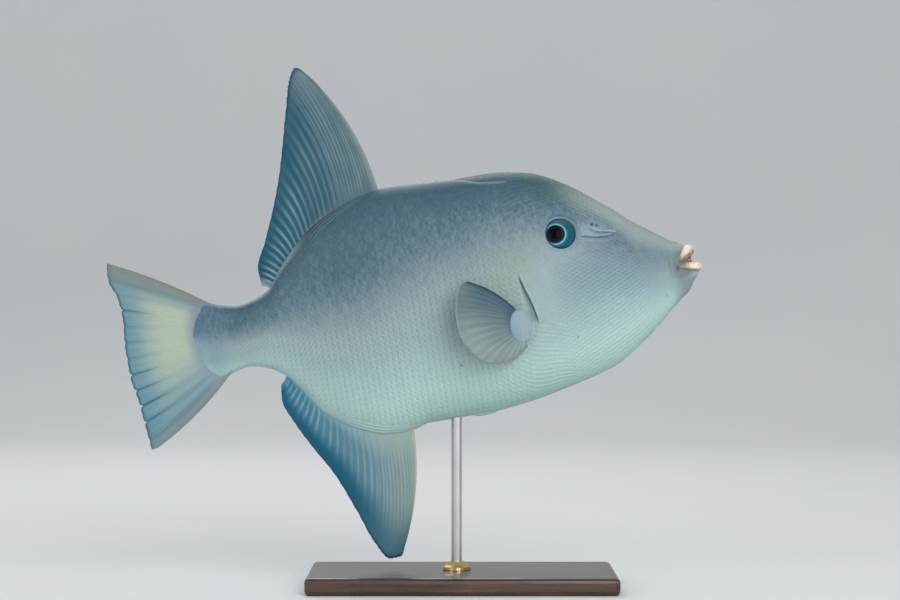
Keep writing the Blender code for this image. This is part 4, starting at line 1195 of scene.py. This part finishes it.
def make_fins():
    """The dorsal, anal and tail fins, on the middle plane."""
    rows = (
        ("dorsal", DORSAL_ROOT, DORSAL_EDGE, DORSAL_BOWS, UPRIGHT_FAN, DORSAL_RAYS, FIN_WAVE,
         dict(UPRIGHT_FIN, seed=21), DORSAL_PAINTS),
        ("anal", ANAL_ROOT, ANAL_EDGE, ANAL_BOWS, UPRIGHT_FAN, ANAL_RAYS, -FIN_WAVE,
         dict(UPRIGHT_FIN, seed=22), ANAL_PAINTS),
        ("caudal", CAUDAL_ROOT, CAUDAL_EDGE, CAUDAL_BOWS, EVEN_FAN, CAUDAL_RAYS, FIN_WAVE,
         CAUDAL_FIN, CAUDAL_PAINTS),
    )
    for name, root, edge, bows, fan, rays, wave, settings, paints in rows:
        film = fin_material(name + "_fin_film", paints)
        fin = make_fin(name + "_fin_rays", root, edge, bows, fan, rays, upright(wave), settings, film)
        keep(fin, "membrane", name + "_fin")


def make_folds(name, edge, distance, inwards, steps, span, material):
    """Low ridges of skin beside a fin's base, on both sides; inwards is the way from the edge."""
    stations, across_steps = 150, 9
    u = np.linspace(*span, stations)
    taper = np.sin(math.pi * np.linspace(0.005, 0.995, stations)) ** 0.6
    turn = np.linspace(0.0, math.pi, across_steps)
    wide = (FOLD_HALF_WIDTH * taper)[:, None] * np.cos(turn)
    high = (FOLD_HEIGHT * taper)[:, None] * (np.sin(turn) ** 0.8 - 0.15)
    points, faces, count = [], [], 0
    for side in (RIGHT, LEFT):
        for step in steps:
            centre, facing = on_flank((u, edge(u) + inwards * step * distance(u)), side, -SKIN_DEPTH)
            across = np.cross(facing, unit(np.gradient(centre, axis=0))) * side
            strip = centre[:, None] + across[:, None] * wide[..., None] + facing[:, None] * high[..., None]
            points.append(strip.reshape(-1, 3))
            one = grid_faces(stations, across_steps) + count
            faces.append(one if side < 0.0 else one[:, ::-1])
            count += stations * across_steps
    points = np.concatenate(points)
    marks = bare_markings(points)
    # The crests take a painted highlight, and the painted shade between the folds leaves them
    crest = np.tile(np.sin(turn), count // across_steps)
    marks["shade"] = marks["shade"] * (1.0 - crest)
    marks["pale"] = np.maximum(marks["pale"], 0.21 * crest ** 3)
    return new_mesh(name, points, np.concatenate(faces), material, marks)


def make_pectoral(side, name, film, flesh):
    """The fan of rays that stands out from the flank, and the fleshy lobe it grows from."""
    hinge = float(half_width_at(*LOBE_PLACE)) + HINGE_LIFT
    lean = math.tan(PECTORAL_SPREAD)
    back_tilt, out_tilt = math.sin(PECTORAL_SPREAD), math.cos(PECTORAL_SPREAD)

    def to_fish(u, v, half, share, reach):
        out = hinge + (u - PECTORAL_HINGE) * lean + PECTORAL_CUP * np.sin(math.pi * reach)
        return place(u - half * back_tilt, side * (out + half * out_tilt), v)

    blade = make_fin(
        "pectoral_rays_" + name, PECTORAL_ROOT, PECTORAL_EDGE, PECTORAL_BOWS, EVEN_FAN, PECTORAL_RAYS,
        to_fish, PECTORAL_FIN, film,
    )
    out = hinge + (LOBE_PLACE[0] - PECTORAL_HINGE) * lean + LOBE_LIFT
    seat = place(LOBE_PLACE[0], side * out, LOBE_PLACE[1])
    facing = direction(-back_tilt, side * out_tilt, 0.0)
    return blade, make_lobe("pectoral_lobe_" + name, seat, facing, side, flesh)


def ways_across(facing, side):
    """The ways rearwards and upwards across something that faces out from the flank."""
    rearward = unit(np.cross(facing, FISH_UP)) * -side
    upward = unit(np.cross(facing, rearward))
    return rearward, upward * np.sign(upward @ FISH_UP)


def ball_grid(tilts, segments):
    """Shares along and across the pole's axis at each place of a ball's grid."""
    tilt, turn = np.meshgrid(tilts, full_turn(segments), indexing="ij")
    return np.cos(tilt), np.sin(tilt) * np.cos(turn), np.sin(tilt) * np.sin(turn)


def make_lobe(name, seat, facing, side, material):
    """The flat fleshy disc at the pectoral fin's root, its face fluted up and down."""
    rearward, upward = ways_across(facing, side)
    pole, a, b = ball_grid(np.linspace(0.01, math.pi - 0.01, 56), 96)
    flutes = np.sin(2.0 * math.pi * (a * 7.0 + 0.35 * np.sin(3.0 * b)))
    out = np.abs(pole) ** 0.75 * np.sign(pole) * LOBE_RADII[2] + 0.00005 * flutes * ease(pole, 0.15, 0.6)
    points = seat + (a * LOBE_RADII[0])[..., None] * rearward + (b * LOBE_RADII[1])[..., None] * upward
    points = points + out[..., None] * facing
    values = {"behind": a, "away": np.hypot(a, b), "flute": flutes}
    return new_mesh(name, *capped(points), material, capped_values(values))


def lobe_material():
    """Pale lavender-blue flesh, bluer behind, with painted shade on its rear rim and fine upright flutes,
    each with a little painted light and shade.
    """
    lobe = Shader("pectoral_lobe_flesh")
    behind, away, fine = lobe.attribute("behind"), lobe.attribute("away"), lobe.noise(900.0)
    fold = lobe.noise(500.0, 2.0, lobe.along_fish(1.0, 1.0, 0.12))
    rim = away.between(0.80, 1.0) * behind.between(-0.6, 0.4)
    colour = lobe.mix(behind.between(-0.2, 1.0), paint(146, 167, 174), paint(118, 146, 164))
    colour = lobe.mix((1.0 - behind.between(-1.0, -0.45)) * 0.7, colour, paint(154, 180, 178))
    # Painted shade along the rear rim
    colour = lobe.mix(rim * 0.6, colour, paint(84, 118, 142))
    # The flutes painted a little lighter and darker, as their light and shade
    light = lobe.attribute("flute") * 0.03 + (fold - 0.5) * 0.16 + (fine - 0.5) * 0.1 + 1.0
    return lobe.finish(
        base_color=lobe.lit(colour, light), roughness=0.5 + (fine - 0.5) * 0.15,
        normal=lobe.bump(fold, 0.3, 0.0004),
    )


def flesh_material(name, colour, second):
    """Wet flesh, clouded between two colours."""
    flesh = Shader(name)
    cloud, fine = flesh.noise(120.0, 3.0), flesh.noise(900.0)
    shade = flesh.mix(cloud.between(0.3, 0.7), colour, second)
    return flesh.finish(
        base_color=flesh.lit(shade, (fine - 0.5) * 0.2 + 1.0), roughness=0.3 + (fine - 0.5) * 0.15,
        coat_weight=0.15, normal=flesh.bump(fine + cloud, 0.3, 0.0004),
    )


def make_eye(side, name, material):
    """An eyeball whose dense face carries a lens, a sunk iris and a raised pale ring."""
    surface_point, facing = EYES[side]
    rearward, upward = ways_across(facing, side)
    pole, a, b = ball_grid(0.004 + np.linspace(0.0, 1.0, 90) ** 0.9 * (math.pi - 0.008), 128)
    a, b, out = EYE_RADIUS * a, EYE_RADIUS * b, EYE_HALF_THICKNESS * pole
    gaze = np.hypot(a - IRIS_SHIFT[0], b - IRIS_SHIFT[1])
    raised = sum(height * bump_at(gaze, at, half) for height, at, half in EYE_RINGS)
    out = out + ease(out, 0.0, 0.003) * raised
    points = surface_point - facing * EYE_INSET + out[..., None] * facing
    points = points + a[..., None] * rearward + b[..., None] * upward
    values = {
        "gaze": gaze * 1000.0, "ahead": (IRIS_SHIFT[0] - a) / np.maximum(gaze, 1e-6),
        "rim": np.hypot(a, b) * 1000.0, "high": b * 1000.0,
    }
    return new_mesh("eyeball_" + name, *capped(points), material, capped_values(values))


# The eyeball's paints outwards from the middle of the pupil, by distance as a share of 10 mm
EYE_STOPS = (
    (0.00, (1, 2, 4)), (0.37, (2, 4, 7)), (0.41, (14, 26, 30)), (0.54, (20, 32, 34)), (0.64, (9, 22, 32)),
    (0.69, (56, 102, 118)), (0.75, (150, 194, 204)), (0.80, (74, 132, 150)), (0.87, (42, 98, 118)),
    (1.0, (38, 86, 104)),
)


def eye_material():
    """Black pupil, dark brown-green iris, a bright cyan-white ring and a teal outer ball, with painted shadow
    over its top and painted shade round its edge.
    """
    eye = Shader("eyeball_glaze")
    gaze, high, ahead = eye.attribute("gaze"), eye.attribute("high"), eye.attribute("ahead")
    fibre = eye.noise(500.0, 3.0)
    colour = eye.ramp((gaze + (fibre - 0.5) * 0.4) / 10.0, EYE_STOPS)
    ring = gaze.between(6.2, 7.0) * (1.0 - gaze.between(7.8, 8.6))
    colour = eye.mix(ring * (1.0 - ahead.between(-0.9, 0.5)) * 0.6, colour, paint(40, 84, 104))
    # Painted shadow over the top of the ball, under the skin's rim
    colour = eye.mix(high.between(4.0, 9.5) * gaze.between(7.8, 9.2) * 0.85, colour, paint(78, 90, 108))
    # Painted shade round the ball's edge, where it sinks into the socket
    colour = eye.mix(eye.attribute("rim").between(10.0, 11.4) * 0.75, colour, paint(16, 38, 54))
    return eye.finish(
        base_color=colour, specular_ior_level=0.04, roughness=0.42 + fibre * 0.12, coat_weight=0.05,
        coat_roughness=0.10, normal=eye.bump(fibre, 0.04, 0.0002),
    )


EYE_RIM_SECTION = (
    (0.0025, -0.0008), (0.0019, 0.0001), (0.0013, 0.00045), (0.0006, 0.00060), (0.0001, 0.00048),
    (-0.0002, 0.0001), (-0.0003, -0.0005), (-0.0004, -0.0020),
)


def make_eye_rim(side, name, material):
    """The soft ring of skin that holds the eyeball, from the cheek over its lip and into the socket."""
    surface_point, facing = EYES[side]
    across = unit(np.cross(FISH_UP, facing))
    upward = np.cross(facing, across)
    segments, turn = 128, full_turn(128)
    section = along(EYE_RIM_SECTION, np.linspace(0.0, 1.0, 18))
    outward = np.cos(turn)[:, None] * across + np.sin(turn)[:, None] * upward
    foot = surface_point + outward * (EYE_DISC + 0.0015)
    u, _, v = fish_axes(foot)
    drop = (place(u, side * half_width_at(u, v), v) - foot) @ facing
    above = np.maximum(0.0, np.sin(turn))
    swell = 1.0 + 0.10 * np.sin(3.0 * turn + 0.6) + 0.25 * above
    points = (
        surface_point + outward[:, None] * (EYE_DISC + section[:, 0])[None, :, None]
        + facing * (drop[:, None] + section[:, 1] * swell[:, None])[..., None]
    )
    rows = len(section)
    inner = np.tile(ease(section[:, 0], 0.0006, -0.0001), segments)
    crown = np.tile(bump_at(section[:, 0], 0.0013, 0.0008), segments)
    attributes = bare_markings(points)
    # Painted shade where the rim turns down into the socket and a little on its crown, and a painted
    # highlight on the top of the crown
    attributes["shade"] = np.maximum(attributes["shade"], 0.06 * crown + 0.75 * inner)
    attributes["pale"] = 0.24 * crown * np.repeat(above, rows)
    i, j = np.meshgrid(np.arange(segments), np.arange(rows - 1), indexing="ij")
    after = (i + 1) % segments
    corners = [i * rows + j, after * rows + j, after * rows + j + 1, i * rows + j + 1]
    faces = np.stack(corners, -1).reshape(-1, 4)
    return new_mesh("eye_rim_" + name, points.reshape(-1, 3), faces, material, attributes)


def lip_line(half_line, half_radii):
    """A lip's whole line with its radii, from the half drawn on the left."""
    half = np.column_stack([half_line, half_radii])
    return np.concatenate([half, half[:-1][::-1] * (1.0, -1.0, 1.0, 1.0)])


def swollen(points, centre, height):
    """Rings pushed out from their middles."""
    return points + unit(points - centre[:, None]) * height[..., None]


def make_lip(name, half_line, half_radii, material, seed):
    """A lip's fleshy roll, wrinkled across and dotted with small bumps."""
    steps, ring = 180, 48
    share = np.linspace(0.0, 1.0, steps)
    u, side, v, radius = along(lip_line(half_line, half_radii), share).T
    centre = place(u, side, v)
    points = tube(centre, radius, ring)
    fold = np.sin(2.0 * math.pi * (26.0 * share[:, None] + 0.6 * ripple(points, 0.006, seed)))
    bumps = 0.00016 * ripple(points, 0.0034, seed + 1) + 0.00006 * ripple(points, 0.0012, seed + 2)
    swell = (0.00008 * fold + bumps) * np.minimum(radius / 0.0040, 1.0)[:, None]
    values = {
        "share": np.repeat(share[:, None], ring, 1), "over": unit(points - centre[:, None]) @ FISH_UP,
    }
    return new_mesh(name, *capped(swollen(points, centre, swell)), material, capped_values(values))


def make_teeth(material):
    """Two close rows of cutting teeth, one mesh, set in the lips' inner sides."""
    share, turn = np.linspace(0.0, 1.0, 14), full_turn(14)
    width = TOOTH_HALF_WIDTH * (1.0 - 0.45 * share ** 2.2) * np.sqrt(np.clip(1.02 - share ** 8, 0.0, 1.0))
    depth = width * (0.72 - 0.30 * share)
    lean = 0.0009 * share ** 2 - 0.0002
    points, faces, count = [], [], 0
    for lip, down in (((UPPER_LIP, UPPER_LIP_RADII), -1.0), ((LOWER_LIP, LOWER_LIP_RADII), 1.0)):
        line = lip_line(*lip)
        for i in range(TEETH):
            from_middle = i - (TEETH - 1) / 2.0
            u, side, v, radius = along(line, 0.5 + from_middle * TOOTH_SPACING)
            inward = unit(np.array((TOOTH_ARC, -side, 0.0)))
            level = unit(np.cross(inward, (0.0, 0.0, 1.0)))
            root = np.array((u, side, v)) + inward * radius * TOOTH_INSET
            length = TOOTH_LENGTH * (1.0 - 0.07 * abs(from_middle))
            body = root + (0.0, 0.0, down) * (share * length)[:, None] + inward * lean[:, None]
            tooth = (
                body[:, None] + level * (np.cos(turn)[None] * width[:, None])[..., None]
                + inward * (np.sin(turn)[None] * depth[:, None])[..., None]
            )
            own_points, own_faces = capped(place(*np.moveaxis(tooth, -1, 0)))
            points.append(own_points)
            faces.extend(group + count for group in own_faces)
            count += len(own_points)
    return new_mesh("teeth", np.concatenate(points), faces, material)


def make_mouth_lining(material):
    """The wet hollow between the lips."""
    long, wide, tall = MOUTH_RADII
    rings, segments = 28, 48
    pole, a, b = ball_grid(np.linspace(0.02, math.pi / 2.0 + 0.35, rings), segments)
    points = place(
        MOUTH_MIDDLE[0] + (long - 0.0003) * pole, (wide - 0.0002) * a, MOUTH_MIDDLE[2] + (tall - 0.0002) * b,
    )
    points = points + unit(points - place(*MOUTH_MIDDLE)) * (0.0002 * ripple(points, 0.003, 51))[..., None]
    return new_mesh("mouth_lining", points.reshape(-1, 3), grid_faces(rings, segments, True), material)


def make_spine(name, start, end, material, ball):
    """A spine folded back in its groove: a knob at its hinge and a rough blunt shaft."""
    ring = 28
    u = np.linspace(start - 0.98 * ball, end, 140)
    centre = place(u, 0.0, back(u) - GROOVE_DEPTH - 0.0005)
    share = np.clip((u - start) / (end - start), 0.0, 1.0)
    shaft = (groove_radius(u) - 0.0006) * (1.0 - 0.65 * share)
    shaft = shaft * np.sqrt(np.clip((1.0 - share) * 14.0, 0.02, 1.0))
    knob = ball * np.sqrt(np.clip(1.0 - ((u - start) / ball) ** 2, 0.0, 1.0))
    radii = np.where(u < start, knob, np.maximum(shaft, knob))[:, None]
    tall, turn = np.minimum(radii, GROOVE_DEPTH + 0.0003), full_turn(ring)
    points = tube(centre, radii * tall / np.hypot(tall * np.cos(turn), radii * np.sin(turn)), ring)
    rough = 0.00012 * ripple(points, 0.0016, 61) + 0.00009 * ripple(points, 0.0008, 62)
    points = swollen(points, centre, rough * np.minimum(radii / 0.002, 1.0))
    return new_mesh(name, *capped(points), material)


def make_pelvic_spine(material):
    """The small knob on the keel of the belly, under its own skin."""
    stations = [(u, 0.0, v, radius) for (u, v), radius in zip(PELVIC_SPINE, PELVIC_RADII)]
    u, side, v, radius = along(stations, np.linspace(0.0, 1.0, 90)).T
    centre = place(u, side, v)
    points = tube(centre, radius, 28)
    rough = 0.00025 * ripple(points, 0.0022, 71) + 0.00012 * ripple(points, 0.0009, 72)
    flat, faces = capped(swollen(points, centre, rough))
    return new_mesh("pelvic_knob", flat, faces, material, bare_markings(flat))


def enamel_material():
    """Cream enamel, clouded a little yellower."""
    enamel = Shader("tooth_enamel")
    cloud = enamel.noise(300.0)
    colour = enamel.mix(cloud, paint(226, 224, 204), paint(196, 190, 160))
    normal = enamel.bump(cloud, 0.1, 0.0002)
    return enamel.finish(base_color=colour, roughness=0.22 + cloud * 0.1, normal=normal)


def lip_material(name, crown, under, over_limits, corner_limits):
    """A cream roll whose underside turns darker in painted shade and whose corners turn to the brownish grey
    of the muzzle.
    """
    lip = Shader(name)
    cloud, fine = lip.noise(260.0, 3.0), lip.noise(1100.0)
    over = lip.attribute("over") + (cloud - 0.5) * 0.5
    from_middle = lip.attribute("share").math("SUBTRACT", 0.5).math("ABSOLUTE")
    # The underside takes painted shade
    colour = lip.mix(over.between(*over_limits), under, crown)
    colour = lip.mix(cloud.between(0.42, 0.70) * 0.35, colour, paint(206, 158, 134))
    colour = lip.mix(from_middle.between(*corner_limits) * 0.88, colour, paint(122, 110, 102))
    return lip.finish(
        base_color=lip.lit(colour, (fine - 0.5) * 0.16 + 1.0), roughness=0.42 + (fine - 0.5) * 0.2,
        coat_weight=0.12, normal=lip.bump(fine + cloud, 0.3, 0.0003),
    )


def spine_material():
    """Rough grey bone with fine pale specks."""
    bone = Shader("spine_bone")
    grain, fine = bone.noise(300.0, 4.0, bone.along_fish(0.2, 1.0, 1.0)), bone.noise(1300.0)
    colour = bone.mix(grain, paint(92, 110, 116), paint(142, 152, 152))
    colour = bone.mix(fine.between(0.6, 0.8) * 0.4, colour, paint(150, 160, 152))
    return bone.finish(
        base_color=colour, roughness=0.5 + (fine - 0.5) * 0.2, normal=bone.bump(grain + fine, 0.6, 0.0004),
    )


def wood_material():
    """Dark stained wood with long grain and pores, worn a little paler at random."""
    wood = Shader("stained_wood_finish")
    grain = wood.noise(22.0, 6.0, wood.stretched(0.7, 9.0, 9.0), 0.62)
    pores, wear = wood.noise(160.0, 2.0, wood.stretched(0.6, 14.0, 14.0)), wood.noise(7.0, 3.0)
    colour = wood.ramp(grain, ((0.30, (38, 24, 17)), (0.52, (70, 45, 31)), (0.74, (98, 66, 45))))
    colour = wood.mix(pores.between(0.62, 0.74) * 0.6, colour, paint(22, 14, 10))
    colour = wood.mix(wear.between(0.55, 0.8) * 0.2, colour, paint(120, 88, 62))
    return wood.finish(
        base_color=colour, roughness=0.34 + (grain - 0.5) * 0.3, coat_weight=0.35 - wear * 0.2,
        normal=wood.bump(grain - pores.between(0.6, 0.75) * 0.6, 0.25, 0.0005),
    )


def metal_material(name, colour, roughness, brush):
    """Brushed metal, smudged a little darker; brush is the stretch of its lines."""
    metal = Shader(name)
    brushed, smudge = metal.noise(300.0, 3.0, metal.stretched(*brush)), metal.noise(40.0, 3.0)
    darker = tuple(channel * 0.6 for channel in colour)
    return metal.finish(
        base_color=metal.mix(smudge.between(0.4, 0.8) * 0.25, colour, darker), metallic=1.0,
        roughness=roughness + (brushed - 0.5) * 0.25 + smudge * 0.08,
        normal=metal.bump(brushed, 0.15, 0.0002),
    )


def refinish(node, material):
    """Gives a solid that stays in view a better material in its own slot."""
    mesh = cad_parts[node].data
    mesh.materials.clear()
    mesh.materials.append(material)


def keep(piece, slot, *nodes):
    """The piece rides on the model and stands for the nodes, which are hidden; slot is not used."""
    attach(piece, "root")
    if nodes:
        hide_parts(*nodes)
    return piece


def make_stage():
    """A pale floor that curves up behind the model."""
    stage = Shader("studio_floor")
    colour = stage.mix(stage.noise(3.0, 4.0), paint(236, 237, 237), paint(230, 232, 233))
    grit = stage.bump(stage.noise(400.0), 0.05, 0.0005)
    material = stage.finish(base_color=colour, roughness=0.85, normal=grit)
    turn = np.linspace(-math.pi / 2.0, 0.0, 24)
    front, radius, far, top, half = -4.0, 1.6, 2.0, 4.5, 5.0
    curve = np.stack([far + radius * np.cos(turn), radius + radius * np.sin(turn)], -1)
    profile = np.concatenate([[(front, 0.0)], curve, [(far + radius, top)]])
    y, z = np.tile(profile, (2, 1)).T
    points = np.stack([np.repeat((-half, half), len(profile)), y, z], -1)
    new_mesh("studio_floor", points, grid_faces(2, len(profile)), material)


# Studio lamps (name, place, watts, width) round the middle of the fish, and the light of the room
LAMPS = (
    ("key", (0.8, -2.1, 1.3), 25.0, 1.6), ("fill", (-1.7, -1.7, 0.8), 9.0, 1.6),
    ("front", (0.5, -2.6, 0.40), 12.0, 1.2), ("back", (-0.4, 1.5, 1.7), 12.0, 1.4),
)


LAMPS_AIM_AT = (0.0, 0.0, 0.22)


ROOM_LIGHT = ((0.86, 0.90, 0.94, 1.0), 0.52)


def make_lights():
    """Plain soft studio light: a broad key above and before the fish, fills at the sides and below."""
    for name, spot, watts, size in LAMPS:
        lamp = bpy.data.lights.new(name, "AREA")
        lamp.shape = "DISK"
        lamp.size = size
        lamp.energy = watts
        obj = link(name, lamp)
        obj.location = spot
        x, y, z = np.array(LAMPS_AIM_AT) - spot
        obj.rotation_euler = (math.atan2(math.hypot(x, y), -z), 0.0, math.atan2(y, x) - math.pi / 2.0)
    world = bpy.data.worlds.new("studio")
    world.use_nodes = True
    room = world.node_tree.nodes["Background"]
    room.inputs["Color"].default_value, room.inputs["Strength"].default_value = ROOM_LIGHT
    bpy.context.scene.world = world


def make_camera():
    """The camera at the photo's angle, level, with the fish's right side before it."""
    camera = bpy.data.cameras.new("camera")
    camera.lens = CAMERA_LENS
    camera.sensor_width = 36.0
    obj = link("camera", camera)
    obj.location = CAMERA_PLACE
    obj.rotation_euler = (math.radians(90.0), 0.0, 0.0)
    bpy.context.scene.camera = obj
    bpy.context.scene.view_settings.view_transform = "Standard"


def main():
    make_camera()
    make_lights()
    make_stage()

    keep(make_skin(), "skin", "head", "torso", "tail", "gill_flap_right", "gill_flap_left")
    for piece in make_scales(skin_material("scale_plates", 1.0, 0.45)):
        keep(piece, "skin")
    make_fins()
    pectoral_film = fin_material("pectoral_fin_film", PECTORAL_PAINTS)
    lobe_flesh, glaze = lobe_material(), eye_material()
    bare_skin = skin_material("smooth_skin_folds", 0.0, 0.3)
    for name, *fold in (
            ("dorsal_base_folds", back, dorsal_fold, -1.0, DORSAL_FOLD_STEPS, DORSAL_FOLD_SPAN),
            ("anal_base_folds", belly, anal_fold, 1.0, ANAL_FOLD_STEPS, ANAL_FOLD_SPAN)):
        keep(make_folds(name, *fold, bare_skin), "skin")
    for side, name in ((RIGHT, "right"), (LEFT, "left")):
        blade, lobe = make_pectoral(side, name, pectoral_film, lobe_flesh)
        keep(blade, "membrane", "pectoral_fin_" + name)
        keep(lobe, "skin")
        keep(make_eye(side, name, glaze), "eyeball", "eye_" + name)
        keep(make_eye_rim(side, name, bare_skin), "skin")

    upper_flesh = lip_material(
        "upper_lip_flesh", paint(240, 226, 210), paint(126, 114, 106), (-0.20, 0.62), (0.24, 0.43),
    )
    lower_flesh = lip_material(
        "lower_lip_flesh", paint(255, 223, 196), paint(126, 138, 128), (-0.80, -0.30), (0.19, 0.38),
    )
    keep(make_lip("upper_lip", UPPER_LIP, UPPER_LIP_RADII, upper_flesh, 41), "lip_skin", "jaw_upper")
    keep(make_lip("lower_lip", LOWER_LIP, LOWER_LIP_RADII, lower_flesh, 45), "lip_skin", "jaw_lower")
    keep(make_teeth(enamel_material()), "lip_skin")
    mouth_flesh = flesh_material("mouth_flesh", paint(138, 106, 92), paint(96, 70, 60))
    keep(make_mouth_lining(mouth_flesh), "lip_skin")
    bone = spine_material()
    first = make_spine("first_dorsal_spine", SPINE_PIVOT, FIRST_SPINE_ENDS, bone, FIRST_KNOB)
    second = make_spine("second_dorsal_spine", SECOND_SPINE_STARTS, SECOND_SPINE_ENDS, bone, SECOND_KNOB)
    keep(first, "spine", "spine_first")
    keep(second, "spine", "spine_second")
    keep(make_pelvic_spine(bare_skin), "spine", "pelvic_spine")

    refinish("stand_base", wood_material())
    refinish("stand_rod", metal_material("brushed_steel_finish", (0.58, 0.58, 0.59), 0.30, (1.0, 1.0, 0.03)))
    refinish("stand_collar", metal_material("brass_finish", (0.72, 0.52, 0.24), 0.26, (1.0, 1.0, 12.0)))


main()
